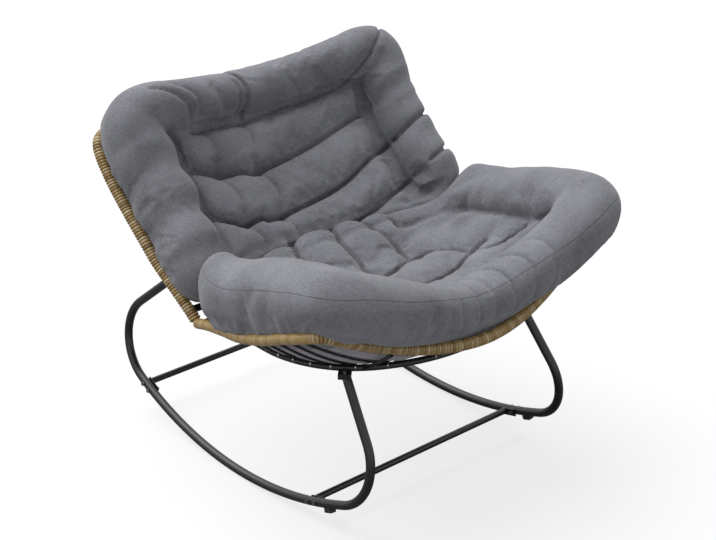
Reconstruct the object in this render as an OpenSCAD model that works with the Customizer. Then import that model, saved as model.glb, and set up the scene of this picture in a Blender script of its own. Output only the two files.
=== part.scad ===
// Outdoor rocking chair: two rattan-rimmed baskets on bent tube rockers, with deep cushions.
// It faces -Y and stands at the origin, on the lowest points of its two rockers.

/* [Rockers] */
// Outer diameter of the rocker tube
rocker_d = 22; // [20:0.5:24]
// Wall of the rocker tube
rocker_wall = 1.5; // [1.2:0.1:2.5]
// Distance between the two rocker tubes at the floor
track = 684.8; // [670:1:700]
// Radius of the rocking curve, to the middle of the tube
rock_r = 1061; // [1040:1:1080]
// Rocking curve on each side of its lowest point, in degrees
rock_half = 22.8; // [22.4:0.1:23.2]
// Radius of the bends at both ends of the rocking curve
bend_r = 121; // [116:1:126]
// Inward lean of each rocker, in degrees
lean = 8.17; // [7.5:0.01:9]

/* [Crossbars] */
// Outer diameter of both crossbars
bar_d = 16.5; // [15:0.5:18]
// Wall of the crossbars
bar_wall = 1.5; // [1.2:0.1:2]
// Place of the front crossbar along the rocking curve, in degrees
front_bar_at = 16.2; // [14:0.1:18]
// Place of the rear crossbar along the rocking curve, in degrees
rear_bar_at = 21.5; // [18:0.1:22]
// Thickness of the end plates
plate_t = 3; // [2:0.5:4]
// Height of the end plates across the rocker
plate_w = 20; // [18:1:24]
// Distance between the two bolts of an end plate
bolt_pitch = 27; // [25:1:32]
// Length of the threaded plug in each end of a crossbar
plug_len = 20; // [16:1:28]

/* [Bolts] */
// Diameter of the bolts
bolt_d = 6; // [5:0.5:6.5]
// Diameter of the bolt heads
head_d = 11; // [10:0.5:12]
// Height of the bolt heads
head_h = 3.5; // [3:0.5:4.5]
// Width of the nuts across their flats
nut_w = 10; // [9:0.5:11]
// Height of the nuts
nut_h = 5; // [4:0.5:6]

/* [Floor pads] */
// Place of the rubber pads along the rocking curve, in degrees
pad_at = 19.9; // [19.4:0.1:20.4]
// Length of a rubber pad along the rocker
pad_len = 24; // [20:1:30]
// Width of a rubber pad
pad_w = 16; // [12:1:20]
// Height of a rubber pad under the tube
pad_h = 9; // [6:0.5:11]

/* [Hoops] */
// Outer diameter of the seat hoop and the back hoop
hoop_d = 16; // [14:0.5:18]
// Wall of the hoops
hoop_wall = 1.5; // [1.2:0.1:2]
// Half of the width of both hoops, to the middle of the tube
hoop_half_w = 363; // [358:1:366]
// Radius of the gently curved end of a hoop
hoop_end_r = 448; // [440:1:460]
// Half angle of that curved end, in degrees
hoop_end_half = 31; // [29:0.5:32]
// Radius of the corners at the straight end of a hoop
hoop_corner_r = 90; // [70:5:110]
// Height of the seat hoop over the floor, to the middle of the tube
seat_hoop_z = 424; // [421:1:426]
// Distance of the seat hoop in front of the origin
seat_hoop_front = 470; // [468:1:472]
// Distance of the seat hoop's rear side in front of the seat joint
hoop_to_joint = 12; // [10:1:16]
// Distance of the back hoop above the seat joint, along the back
back_hoop_start = 90; // [86:1:94]
// Height of the back hoop along the back
back_hoop_len = 405; // [380:5:430]
// Distance of the back hoop behind the back rim
back_hoop_drop = 50; // [48:1:54]

/* [Leg and arm joints] */
// Thickness of the plates on the legs and arms
end_plate_t = 4; // [3:0.5:5]
// Width of those plates and of the saddles on them
saddle_w = 30; // [26:1:34]
// Thickness of a saddle under the hoop
saddle_floor = 2; // [1.5:0.5:4]
// Distance of their bolts from the middle
saddle_bolt = 24; // [22:1:26]

/* [Back frame] */
// Height of the seat joint over the floor
joint_z = 453; // [450:1:456]
// Distance of the seat joint in front of the origin
joint_front = 7; // [4:1:10]
// Rise of the back from the horizontal, in degrees
back_rise = 42; // [41:0.5:43]

/* [Rims] */
// Outer diameter of the steel tube in the rims
core_d = 20; // [18:0.5:22]
// Outer diameter of the rattan winding on the rims
wrap_d = 28; // [26:0.5:30]
// Gap between a rim tube and its winding
wrap_gap = 0.3; // [0.2:0.1:0.5]
// Diameter of the bars that close the baskets at the seat joint
joint_bar_d = 18; // [16:0.5:20]

/* [Ribs] */
// Diameter of the basket ribs
rib_d = 6; // [5:0.5:7]
// Distance between the seat ribs
seat_rib_pitch = 40; // [36:1:44]
// Distance between the back ribs
back_rib_pitch = 42; // [38:1:46]
// Diameter of the two struts under the front of the seat
strut_d = 10; // [8:0.5:12]
// Distance of each strut from the middle
strut_x = 257; // [245:1:262]

/* [Cushions] */
// Height of the seat cushion's puffs over their seams
seat_puff = 20; // [10:1:26]
// Height of the back cushion's channels over their seams
back_puff = 26; // [14:1:32]
// Half of the width of the tufted part of the seat
seat_field = 335; // [325:1:340]
// Half of the width of the channelled part of the back
back_field = 290; // [280:1:296]

/* [Hidden] */
$fn = 48;

// Smallest gap between pieces that touch on the real chair
touch = 0.3;
// Clearance of a bolt in its hole
bolt_gap = 0.4;
big = 2000;

steel_black = [0.07, 0.08, 0.10];
rattan = [0.72, 0.60, 0.38];
linen = [0.50, 0.51, 0.54];
rubber = [0.05, 0.05, 0.05];
zinc = [0.62, 0.63, 0.65];

// Each bend of a tube is welded to the next length inside a thin collar
joint_gap = 1;
collar_len = 4;
collar_up = 0.1;
rocker_bore = rocker_d - 2 * rocker_wall;
bar_bore = bar_d - 2 * bar_wall;
hoop_bore = hoop_d - 2 * hoop_wall;

// Small helpers
function lerp(a, b, t) = a + (b - a) * t;
function clamp01(t) = min(1, max(0, t));
function smooth(from, to, v) = let (t = clamp01((v - from) / (to - from))) t * t * (3 - 2 * t);
function unit(v) = v / norm(v);
function flip(p) = [for (i = [0 : len(p) - 1]) i == 0 ? -p[i] : p[i]];

// Point on a smooth curve through the rows of a list, at t counted in rows
function blend4(a, b, c, d, t) =
    (2 * b + (c - a) * t + (2 * a - 5 * b + 4 * c - d) * t * t + (3 * b - a - 3 * c + d) * t * t * t) / 2;
function along(rows, t) =
    let (n = len(rows), i = min(floor(t), n - 2))
    let (before = i == 0 ? flip(rows[1]) : rows[i - 1])
    let (after = i == n - 2 ? 2 * rows[n - 1] - rows[n - 2] : rows[i + 2])
    blend4(before, rows[i], rows[i + 1], after, t - i);

// The same for a closed half loop, whose last row also lies on the middle plane
function along_loop(rows, t) =
    let (n = len(rows), i = min(floor(t), n - 2))
    let (before = i == 0 ? flip(rows[1]) : rows[i - 1])
    let (after = i == n - 2 ? flip(rows[n - 2]) : rows[i + 2])
    blend4(before, rows[i], rows[i + 1], after, t - i);

// Point of a symmetrical curve at s from -1 (left end) to 1 (right end)
function both(rows, s) =
    let (p = along(rows, abs(s) * (len(rows) - 1)))
    s < 0 ? flip(p) : p;

// Rings of points round a path, and the solids swept through them
function ring_frame(path, i, up) =
    let (a = path[max(i - 1, 0)], b = path[min(i + 1, len(path) - 1)])
    let (run = unit(b - a), side = unit(cross(run, up)))
    [side, cross(side, run)];
function ring(path, i, up, r, sides) =
    let (f = ring_frame(path, i, up))
    [for (k = [0 : sides - 1]) let (a = 360 * (k + 0.5) / sides) path[i] + r * (cos(a) * f[0] + sin(a) * f[1])];
function band(from, to, n, turned) = [
    for (k = [0 : n - 1]) let (m = (k + 1) % n)
    for (f = [[from + k, to + k, to + m], [from + k, to + m, from + m]])
    turned ? [f[2], f[1], f[0]] : f
];
function fan(from, n, turned) = [
    for (k = [1 : n - 2]) turned ? [from + k + 1, from + k, from] : [from, from + k, from + k + 1]
];

module rod(path, r, sides, up) {
    n = len(path);
    points = [for (i = [0 : n - 1]) each ring(path, i, up, r, sides)];
    faces = [
        each fan(0, sides, true),
        for (i = [0 : n - 2]) each band(i * sides, (i + 1) * sides, sides, true),
        each fan((n - 1) * sides, sides, false)
    ];
    polyhedron(points, faces);
}

module sleeve(path, outer_r, inner_r, sides, up) {
    n = len(path);
    inner = n * sides;
    points = [
        for (i = [0 : n - 1]) each ring(path, i, up, outer_r, sides),
        for (i = [0 : n - 1]) each ring(path, i, up, inner_r, sides)
    ];
    faces = [
        for (i = [0 : n - 2]) each band(i * sides, (i + 1) * sides, sides, true),
        for (i = [0 : n - 2]) each band(inner + i * sides, inner + (i + 1) * sides, sides, false),
        each band(0, inner, sides, false),
        each band((n - 1) * sides, inner + (n - 1) * sides, sides, true)
    ];
    polyhedron(points, faces);
}

// Places that several pieces share
module in_left_plane() {
    translate([-track / 2, 0, 0])
        rotate([0, lean, 0])
            children();
}
module in_right_plane() {
    mirror([1, 0, 0])
        in_left_plane()
            children();
}
module on_both_sides() {
    in_left_plane()
        children();
    in_right_plane()
        children();
}
module in_back_plane() {
    translate([0, -joint_front, joint_z])
        rotate([back_rise, 0, 0])
            children();
}

// Rocker: everything lies in one plane, with Y forward and back and Z up along the lean
foot = rocker_d / 2 / cos(lean);
arc_mid = foot + rock_r;
front_mid = [-(rock_r - bend_r) * sin(rock_half), arc_mid - (rock_r - bend_r) * cos(rock_half)];
rear_mid = [-front_mid[0], front_mid[1]];

// The hoops' outlines, and the heights at which the legs and arms meet their plates
seat_hoop_depth = seat_hoop_front - joint_front - hoop_to_joint;
hoop_end_x = hoop_end_r * sin(hoop_end_half);
hoop_side_r = (hoop_half_w - hoop_end_x) / (1 - sin(hoop_end_half));
hoop_side_y = hoop_end_r - (hoop_end_r - hoop_side_r) * cos(hoop_end_half);
hoop_side_x = hoop_half_w - hoop_side_r;
saddle_h = saddle_floor + touch + hoop_d / 2 - 1;
saddle_drop = saddle_h + touch + 1;
leg_top = seat_hoop_z - saddle_drop - end_plate_t - touch;
arm_top = -back_hoop_drop - saddle_drop - end_plate_t - touch;

// Where a rocker's plane crosses a hoop: distance from the middle, distance from the hoop's curved end
function plane_x(height) = -track / 2 + height * sin(lean);
function hoop_at(x) = hoop_side_y - sqrt(pow(hoop_side_r, 2) - pow(abs(x) - hoop_side_x, 2));
function back_z(v, n) = joint_z + v * sin(back_rise) + n * cos(back_rise);
function arm_crossing(v, tries) =
    let (x = plane_x(back_z(v, arm_top) / cos(lean)))
    tries == 0 ? [x, v - back_hoop_start] : arm_crossing(back_hoop_start + hoop_at(x), tries - 1);
leg_x = plane_x(leg_top / cos(lean));
leg_spot = [leg_x, hoop_at(leg_x)];
leg_end = [leg_spot[1] - seat_hoop_front, leg_top / cos(lean)];
arm_spot = arm_crossing(back_hoop_start + 60, 6);
arm_v = back_hoop_start + arm_spot[1];
arm_end = [
    -joint_front + arm_v * cos(back_rise) - arm_top * sin(back_rise),
    back_z(arm_v, arm_top) / cos(lean)
];

// Each bend turns as far as its straight tube needs to reach that place
function reach(mid, end) = sqrt(pow(norm(end - mid), 2) - pow(bend_r, 2));
function heading(mid, end, side) =
    let (turn = atan2(side * (end[0] - mid[0]), end[1] - mid[1]) - atan2(-reach(mid, end), -bend_r))
    turn < 0 ? turn + 360 : turn;
leg_len = reach(front_mid, leg_end);
arm_len = reach(rear_mid, arm_end);
front_heading = heading(front_mid, leg_end, 1);
rear_heading = heading(rear_mid, arm_end, -1);
leg_foot = front_mid - bend_r * [sin(front_heading), cos(front_heading)];
arm_foot = rear_mid + bend_r * [sin(rear_heading), -cos(rear_heading)];
leg_run = [-cos(front_heading), sin(front_heading)];
arm_run = [cos(rear_heading), sin(rear_heading)];
// Spare length of a leg or arm that its plate then cuts off
trim_len = 30;

module tube_section(d, bore) {
    difference() {
        circle(d = d, $fn = 32);
        circle(d = bore, $fn = 32);
    }
}
module collar(d, bore) {
    linear_extrude(height = collar_len, center = true)
        tube_section(d + 2 * collar_up, bore - 2 * collar_up);
}
function trim(r) = joint_gap / r * 90 / PI;
module tube_arc(mid, r, from, to, d, bore) {
    translate([0, mid[0], mid[1]])
        rotate([90, 0, 90])
            rotate([0, 0, from + trim(r)])
                rotate_extrude(angle = to - from - 2 * trim(r), $fn = r > 500 ? 540 : 120)
                    translate([r, 0])
                        tube_section(d, bore);
}
module across_tube(at, run) {
    translate([0, at[0], at[1]])
        rotate([atan2(run[1], run[0]) - 90, 0, 0])
            children();
}
module tube_straight(start, run, len, d, bore) {
    across_tube(start + run * joint_gap / 2, run)
        linear_extrude(height = len)
            tube_section(d, bore);
}
module rocker_run(d, bore) {
    tube_arc([0, arc_mid], rock_r, -90 - rock_half, -90 + rock_half, d, bore);
    tube_arc(front_mid, bend_r, -90 - front_heading, -90 - rock_half, d, bore);
    tube_arc(rear_mid, bend_r, -90 + rock_half, -90 + rear_heading, d, bore);
    tube_straight(leg_foot, leg_run, leg_len + trim_len, d, bore);
    tube_straight(arm_foot, arm_run, arm_len + trim_len, d, bore);
    for (side = [-1, 1])
        across_tube(on_curve(side * rock_half), [cos(rock_half), side * sin(rock_half)])
            collar(d, bore);
    across_tube(leg_foot, leg_run)
        collar(d, bore);
    across_tube(arm_foot, arm_run)
        collar(d, bore);
}

// Everything above the leg plate and above the arm plate, which trims the tubes
module over_leg() {
    translate([-big / 2, -big / 2, leg_top])
        cube([big, big / 2 - 100, big]);
}
module over_arm() {
    in_back_plane()
        translate([-big / 2, -100, arm_top])
            cube(big);
}

function on_curve(at) = [rock_r * sin(at), arc_mid - rock_r * cos(at)];
module at_curve(at) {
    p = on_curve(at);
    translate([0, p[0], p[1]])
        rotate([at, 0, 0])
            children();
}
module cross_axis(d, from, len) {
    translate([from, 0, 0])
        rotate([0, 90, 0])
            cylinder(d = d, h = len);
}
// Both bolt places of one crossbar end: on the bar's axis, and one pitch further forward
module at_bar_bolts(at) {
    for (step = [0, 1])
        at_curve(at)
            translate([0, -step * bolt_pitch, 0])
                rotate([-step * bolt_pitch / rock_r * 90 / PI, 0, 0])
                    children();
}
module bar_bolt_holes() {
    for (at = [-front_bar_at, rear_bar_at])
        at_bar_bolts(at)
            cross_axis(bolt_d + bolt_gap, -rocker_d, 4 * rocker_d);
}
module rocker_solid() {
    difference() {
        rocker_run(rocker_d, rocker_bore);
        bar_bolt_holes();
    }
}
module rocker_left() {
    color(steel_black)
        difference() {
            in_left_plane()
                rocker_solid();
            over_leg();
            over_arm();
        }
}
module rocker_right() {
    color(steel_black)
        difference() {
            in_right_plane()
                rocker_solid();
            over_leg();
            over_arm();
        }
}

// Crossbars: a tube square to the chair's middle, cut to lean with its two end plates
plate_in = rocker_d / 2 + touch;
module bar_plate(at) {
    at_curve(at)
        translate([plate_in, -bolt_pitch - plate_w / 2, -plate_w / 2])
            difference() {
                cube([plate_t, bolt_pitch + plate_w, plate_w]);
                translate([0, plate_w / 2, plate_w / 2])
                    cross_axis(bolt_d + bolt_gap, -plate_t, 3 * plate_t);
                translate([0, plate_w / 2 + bolt_pitch, plate_w / 2])
                    cross_axis(bolt_d + bolt_gap, -plate_t, 3 * plate_t);
            }
}
module bar_tube(at) {
    p = on_curve(at);
    difference() {
        translate([-track / 2, p[0], p[1] * cos(lean)])
            cross_axis(bar_d, 0, track);
        translate([-track / 2, p[0], p[1] * cos(lean)])
            cross_axis(bar_bore, -1, track + 2);
        on_both_sides()
            translate([plate_in + plate_t / 3 - big, -big / 2, -big / 2])
                cube(big);
    }
}
module crossbar(at) {
    color(steel_black) {
        bar_tube(at);
        on_both_sides()
            bar_plate(at);
    }
}
module crossbar_front() {
    crossbar(-front_bar_at);
}
module crossbar_rear() {
    crossbar(rear_bar_at);
}
plug_in = plate_in + plate_t + touch;
module crossbar_plugs() {
    color(zinc)
        for (at = [-front_bar_at, rear_bar_at])
            intersection() {
                p = on_curve(at);
                translate([-track / 2, p[0], p[1] * cos(lean)])
                    cross_axis(bar_bore - 2 * touch, 0, track);
                on_both_sides()
                    at_curve(at)
                        difference() {
                            translate([plug_in, -bar_d, -bar_d])
                                cube([plug_len, 2 * bar_d, 2 * bar_d]);
                            cross_axis(bolt_d + bolt_gap, 0, 2 * big);
                        }
            }
}
module bar_bolt(len) {
    translate([-rocker_d / 2 - touch, 0, 0]) {
        cross_axis(bolt_d, 0, len);
        translate([-head_h, 0, 0])
            cross_axis(head_d, 0, head_h);
    }
}
module crossbar_bolts() {
    axis_len = rocker_d + touch + plate_t + plug_len / 2;
    lug_len = rocker_d + 3 * touch + plate_t + nut_h + 1;
    color(zinc)
        on_both_sides()
            for (at = [-front_bar_at, rear_bar_at]) {
                at_curve(at)
                    bar_bolt(axis_len);
                at_curve(at)
                    translate([0, -bolt_pitch, 0])
                        bar_bolt(lug_len);
            }
}
module hex_nut() {
    difference() {
        cylinder(d = nut_w / cos(30), h = nut_h, $fn = 6);
        translate([0, 0, -1])
            cylinder(d = bolt_d + bolt_gap, h = nut_h + 2);
    }
}
module crossbar_nuts() {
    color(zinc)
        on_both_sides()
            for (at = [-front_bar_at, rear_bar_at])
                at_curve(at)
                    translate([plug_in, -bolt_pitch, 0])
                        rotate([0, 90, 0])
                            hex_nut();
}

// Rubber pads that stop the chair at the front of its swing
module floor_pads() {
    color(rubber)
        difference() {
            on_both_sides()
                at_curve(-pad_at)
                    translate([-pad_w / 2, -pad_len / 2, -rocker_d / 2 - pad_h])
                        cube([pad_w, pad_len, pad_h + rocker_d / 4]);
            on_both_sides()
                tube_arc([0, arc_mid], rock_r, -90 - rock_half, -90, rocker_d + 2 * touch, 0);
        }
}

// Hoops: one gently curved end at Y 0, straight sides and rounded corners at the other end
module flat_arc(x, y, r, from, to, d, bore) {
    translate([x, y, 0])
        rotate([0, 0, from + trim(r)])
            rotate_extrude(angle = to - from - 2 * trim(r), $fn = 240)
                translate([r, 0])
                    tube_section(d, bore);
}
module across_hoop(x, y, heading) {
    translate([x, y, 0])
        rotate([0, 0, heading])
            rotate([90, 0, 90])
                children();
}
module flat_bar(x, y, heading, len, d, bore) {
    across_hoop(x, y, heading)
        linear_extrude(height = len - joint_gap, center = true)
            tube_section(d, bore);
}
module hoop_corner(side, d, bore) {
    flat_arc(side * hoop_side_x, hoop_side_y, hoop_side_r,
        side > 0 ? -90 + hoop_end_half : 180, side > 0 ? 0 : 270 - hoop_end_half, d, bore);
}
module hoop(depth, d, bore) {
    corner_x = hoop_half_w - hoop_corner_r;
    corner_y = depth - hoop_corner_r;
    end_y = hoop_end_r * (1 - cos(hoop_end_half));
    flat_arc(0, hoop_end_r, hoop_end_r, -90 - hoop_end_half, -90 + hoop_end_half, d, bore);
    flat_bar(0, depth, 0, 2 * corner_x, d, bore);
    for (side = [-1, 1]) {
        hoop_corner(side, d, bore);
        flat_bar(side * hoop_half_w, (hoop_side_y + corner_y) / 2, 90, corner_y - hoop_side_y, d, bore);
        flat_arc(side * corner_x, corner_y, hoop_corner_r, side > 0 ? 0 : 90, side > 0 ? 90 : 180, d, bore);
        across_hoop(side * hoop_end_x, end_y, side * hoop_end_half)
            collar(d, bore);
        across_hoop(side * hoop_half_w, hoop_side_y, 90)
            collar(d, bore);
        across_hoop(side * hoop_half_w, corner_y, 90)
            collar(d, bore);
        across_hoop(side * corner_x, depth, 0)
            collar(d, bore);
    }
}
module at_seat_hoop() {
    translate([0, -seat_hoop_front, seat_hoop_z])
        children();
}
module at_back_hoop() {
    in_back_plane()
        translate([0, back_hoop_start, -back_hoop_drop])
            children();
}
module seat_hoop() {
    color(steel_black)
        at_seat_hoop()
            hoop(seat_hoop_depth, hoop_d, hoop_bore);
}
module back_hoop() {
    color(steel_black)
        at_back_hoop()
            hoop(back_hoop_len, hoop_d, hoop_bore);
}

// Joints of the legs and arms: a plate across the tube's end, a saddle on it and two bolts
// Direction of the hoop's corner curve at a distance from the middle
function hoop_heading(x) = asin((abs(x) - hoop_side_x) / hoop_side_r);

module at_spot(spot) {
    for (side = [-1, 1])
        translate([-side * spot[0], spot[1], -saddle_drop])
            rotate([0, 0, side * hoop_heading(spot[0])])
                children();
}
saddle_len = 2 * saddle_bolt + 16;
module saddle_holes() {
    for (side = [-1, 1])
        translate([0, side * saddle_bolt, -3 * saddle_h])
            cylinder(d = bolt_d + bolt_gap, h = 6 * saddle_h);
}
module end_plate() {
    difference() {
        translate([-saddle_w / 2, -saddle_len / 2, -end_plate_t])
            cube([saddle_w, saddle_len, end_plate_t]);
        saddle_holes();
    }
}
module both_hoop_corners() {
    for (side = [-1, 1])
        hoop_corner(side, hoop_d + 2 * touch, 0);
}
module saddle() {
    difference() {
        translate([-saddle_w / 2, -saddle_len / 2, touch])
            cube([saddle_w, saddle_len, saddle_h]);
        saddle_holes();
    }
}
saddle_bolt_len = end_plate_t + saddle_h + 2 * touch + nut_h + 1;
module joint_bolts() {
    for (side = [-1, 1])
        translate([0, side * saddle_bolt, -end_plate_t - touch]) {
            cylinder(d = bolt_d, h = saddle_bolt_len);
            translate([0, 0, -head_h])
                cylinder(d = head_d, h = head_h);
        }
}
module joint_nuts() {
    for (side = [-1, 1])
        translate([0, side * saddle_bolt, saddle_h + 2 * touch])
            hex_nut();
}
module leg_plates() {
    color(steel_black)
        at_seat_hoop()
            at_spot(leg_spot)
                end_plate();
}
module leg_saddles() {
    color(steel_black)
        at_seat_hoop()
            difference() {
                at_spot(leg_spot)
                    saddle();
                both_hoop_corners();
            }
}
module leg_bolts() {
    color(zinc)
        at_seat_hoop()
            at_spot(leg_spot)
                joint_bolts();
}
module leg_nuts() {
    color(zinc)
        at_seat_hoop()
            at_spot(leg_spot)
                joint_nuts();
}
module arm_plates() {
    color(steel_black)
        at_back_hoop()
            at_spot(arm_spot)
                end_plate();
}
module arm_saddles() {
    color(steel_black)
        at_back_hoop()
            difference() {
                at_spot(arm_spot)
                    saddle();
                both_hoop_corners();
            }
}
module arm_bolts() {
    color(zinc)
        at_back_hoop()
            at_spot(arm_spot)
                joint_bolts();
}
module arm_nuts() {
    color(zinc)
        at_back_hoop()
            at_spot(arm_spot)
                joint_nuts();
}

// Seat rim, from the middle of the front to the right rear corner
SEAT_RIM = [
    [0, -540, 475], [100, -532, 482], [200, -512, 501], [300, -491, 534], [390, -487, 577],
    [440, -472, 597], [464, -432, 587], [470, -370, 564], [470, -300, 533], [464, -207, 501],
    [456, -137, 487], [447, -62, 470], [440, -joint_front - 3, joint_z]
];
// Back rim in the back's own plane: X, distance up the back, distance in front of its plane
BACK_RIM = [
    [0, 532, -22], [130, 535, -18], [280, 540, -10], [380, 540, -4], [430, 524, 2],
    [450, 488, 2], [456, 415, -4], [457, 320, -5], [455, 240, -6], [451, 180, -10],
    [446, 95, -2], [440, 26, 0]
];
rim_steps = 44;
function rim_path(rows) = [for (i = [0 : rim_steps]) both(rows, 2 * i / rim_steps - 1)];
rim_sides = 10;
module rim_tube(rows) {
    rod(rim_path(rows), core_d / 2, rim_sides, [0, 0, 1]);
}
module rim_winding(rows) {
    sleeve(rim_path(rows), wrap_d / 2, core_d / 2 + wrap_gap, rim_sides, [0, 0, 1]);
}
module seat_rim_tube() {
    color(steel_black)
        rim_tube(SEAT_RIM);
}
module seat_rim_winding() {
    color(rattan)
        rim_winding(SEAT_RIM);
}
module back_rim_tube() {
    color(steel_black)
        in_back_plane()
            rim_tube(BACK_RIM);
}
module back_rim_winding() {
    color(rattan)
        in_back_plane()
            rim_winding(BACK_RIM);
}

// Bars that close the two baskets at the seat joint
seat_end = SEAT_RIM[len(SEAT_RIM) - 1];
back_end = BACK_RIM[len(BACK_RIM) - 1];
bar_tuck = wrap_d / 2 + touch;
seat_bar_y = seat_end[1] - joint_bar_d / 2;
back_bar_v = back_end[1] + joint_bar_d / 2;
module seat_rear_bar() {
    reach = seat_end[0] - bar_tuck;
    color(steel_black)
        translate([0, seat_bar_y, seat_end[2]])
            cross_axis(joint_bar_d, -reach, 2 * reach);
}
module back_lower_bar() {
    reach = back_end[0] - bar_tuck + 0.4;
    color(steel_black)
        in_back_plane()
            translate([0, back_bar_v, back_end[2]])
                cross_axis(joint_bar_d, -reach, 2 * reach);
}

// Short posts from the hoop up to the seat's rear bar
post_d = 10;
post_x = [80, 220];
hoop_rear_y = seat_hoop_depth - seat_hoop_front;
module seat_rear_posts() {
    bar_top = seat_end[2] - joint_bar_d / 2 - touch;
    color(steel_black)
        difference() {
            for (x = post_x)
                for (side = [-1, 1])
                    translate([side * x, hoop_rear_y, seat_hoop_z])
                        cylinder(d = post_d, h = bar_top - seat_hoop_z, $fn = 24);
            at_seat_hoop()
                flat_bar(0, seat_hoop_depth, 0, 2 * hoop_half_w, hoop_d + 2 * touch, 0);
        }
}

// Lugs that bolt the back basket to the seat basket
lug_x = [150, 330];
lug_t = 4;
lug_w = 26;
lug_bolt_y = -joint_front + 12;
lug_bolt_z = joint_z - 24;
module at_lugs() {
    for (x = lug_x)
        for (side = [-1, 1])
            translate([side * x, 0, 0])
                children();
}
module lug_body(y, z, shift) {
    translate([shift, 0, 0])
        difference() {
            hull() {
                translate([0, y, z])
                    cross_axis(8, 0, lug_t, $fn = 32);
                translate([0, lug_bolt_y, lug_bolt_z])
                    cross_axis(lug_w / 1.4, 0, lug_t, $fn = 32);
            }
            translate([0, lug_bolt_y, lug_bolt_z])
                cross_axis(bolt_d + bolt_gap, -1, lug_t + 2);
        }
}

// Ribs of the seat basket: level across the hoop, then up to the rim on both sides
rib_level = seat_hoop_z + hoop_d / 2 + rib_d / 2 + touch;
function rim_row_at(rows, y, from, to) =
    let (mid = (from + to) / 2)
    to - from < 0.01 ? along(rows, mid)
    : along(rows, mid)[1] < y ? rim_row_at(rows, y, mid, to) : rim_row_at(rows, y, from, mid);
function hoop_x(depth_in) =
    depth_in >= hoop_side_y ? hoop_half_w
    : depth_in < hoop_end_r * (1 - cos(hoop_end_half))
    ? sqrt(max(0, pow(hoop_end_r, 2) - pow(hoop_end_r - depth_in, 2)))
    : hoop_side_x + sqrt(max(0, pow(hoop_side_r, 2) - pow(hoop_side_y - depth_in, 2)));
rib_steps = 5;
rib_bow = 1.3;
function half_rib(hoop_at, rim_at) = [
    for (q = [0 : rib_steps]) let (t = q / rib_steps)
    [lerp(hoop_at[0], rim_at[0], t), lerp(hoop_at[1], rim_at[1], t),
     lerp(hoop_at[2], rim_at[2], pow(t, rib_bow))]
];
function mirrored_run(half) = [
    for (i = [len(half) - 1 : -1 : 0]) flip(half[i]),
    each half
];
// Where a rib meets the winding, on its inner lower side
tuck = (wrap_d + rib_d) / 2 * 0.74;
module seat_ribs() {
    color(steel_black)
        for (y = [-60 : -seat_rib_pitch : -seat_hoop_front + 8]) {
            rim = rim_row_at(SEAT_RIM, y, 5, 12);
            hx = hoop_x(y + seat_hoop_front);
            rod(mirrored_run(half_rib([hx, y, rib_level], [rim[0] - tuck, y, rim[2] - tuck])),
                rib_d / 2, 6, [0, 1, 0]);
        }
}

// Lowest place for a cushion over the ribs, measured from the level they run at
rib_pad = rib_d / 2 + touch;
function over_rib(x, hx, rim_x, rise) =
    let (t = clamp01((abs(x) - hx) / (rim_x - tuck - hx)))
    rib_pad + (rise - tuck) * pow(t, rib_bow) + 4 * smooth(0, 0.1, t);

// Struts from under the front rim back and down to the hoop
module front_stay(x, d) {
    rim = along(SEAT_RIM, x / 100);
    hoop_y = -seat_hoop_front + hoop_end_r - sqrt(pow(hoop_end_r, 2) - pow(x, 2));
    from = [x, rim[1] + 6, rim[2] - (wrap_d + d) / 2 - touch];
    to = [x, hoop_y - (hoop_d + d) / 2 + touch, seat_hoop_z + 3];
    rod([from, lerp(from, to, 0.5) - [0, 0, 2], to], d / 2, 8, [1, 0, 0]);
}
module front_struts() {
    color(steel_black)
        for (side = [0, 1])
            mirror([side, 0, 0])
                front_stay(strut_x, strut_d);
}
// Ribs of the back basket: across the front of the back hoop, then out to the rim
back_rib_level = -back_hoop_drop + hoop_d / 2 + rib_d / 2 + touch;
function back_rim_row(v, from, to) =
    let (mid = (from + to) / 2)
    to - from < 0.01 ? along(BACK_RIM, mid)
    : along(BACK_RIM, mid)[1] > v ? back_rim_row(v, mid, to) : back_rim_row(v, from, mid);
module back_ribs() {
    color(steel_black)
        in_back_plane()
            for (v = [back_hoop_start + 14 : back_rib_pitch : back_hoop_start + back_hoop_len - 10]) {
                rim = back_rim_row(v, 4, 11);
                hx = hoop_x(v - back_hoop_start);
                rod(mirrored_run(half_rib([hx, v, back_rib_level], [rim[0] - tuck, v, rim[2] - tuck])),
                    rib_d / 2, 6, [0, 1, 0]);
            }
}
module seat_lugs() {
    color(steel_black)
        at_lugs()
            lug_body(seat_bar_y, seat_end[2] - joint_bar_d / 2 - 4 - touch, touch);
}
module back_lugs() {
    back_bar = [
        -joint_front + back_bar_v * cos(back_rise),
        joint_z + back_bar_v * sin(back_rise)
    ];
    color(steel_black)
        at_lugs()
            difference() {
                lug_body(back_bar[0], back_bar[1] - joint_bar_d / 2, -lug_t);
                in_back_plane()
                    translate([0, back_bar_v, back_end[2]])
                        cross_axis(joint_bar_d + 2 * touch, -20, 40);
            }
}
module lug_bolts() {
    color(zinc)
        at_lugs()
            translate([-lug_t - touch, lug_bolt_y, lug_bolt_z]) {
                cross_axis(bolt_d, 0, 2 * lug_t + 2 * touch + nut_h + 2);
                cross_axis(head_d, -head_h, head_h);
            }
}
module lug_nuts() {
    color(zinc)
        at_lugs()
            translate([lug_t + 2 * touch, lug_bolt_y, lug_bolt_z])
                rotate([0, 90, 0])
                    hex_nut();
}

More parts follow.
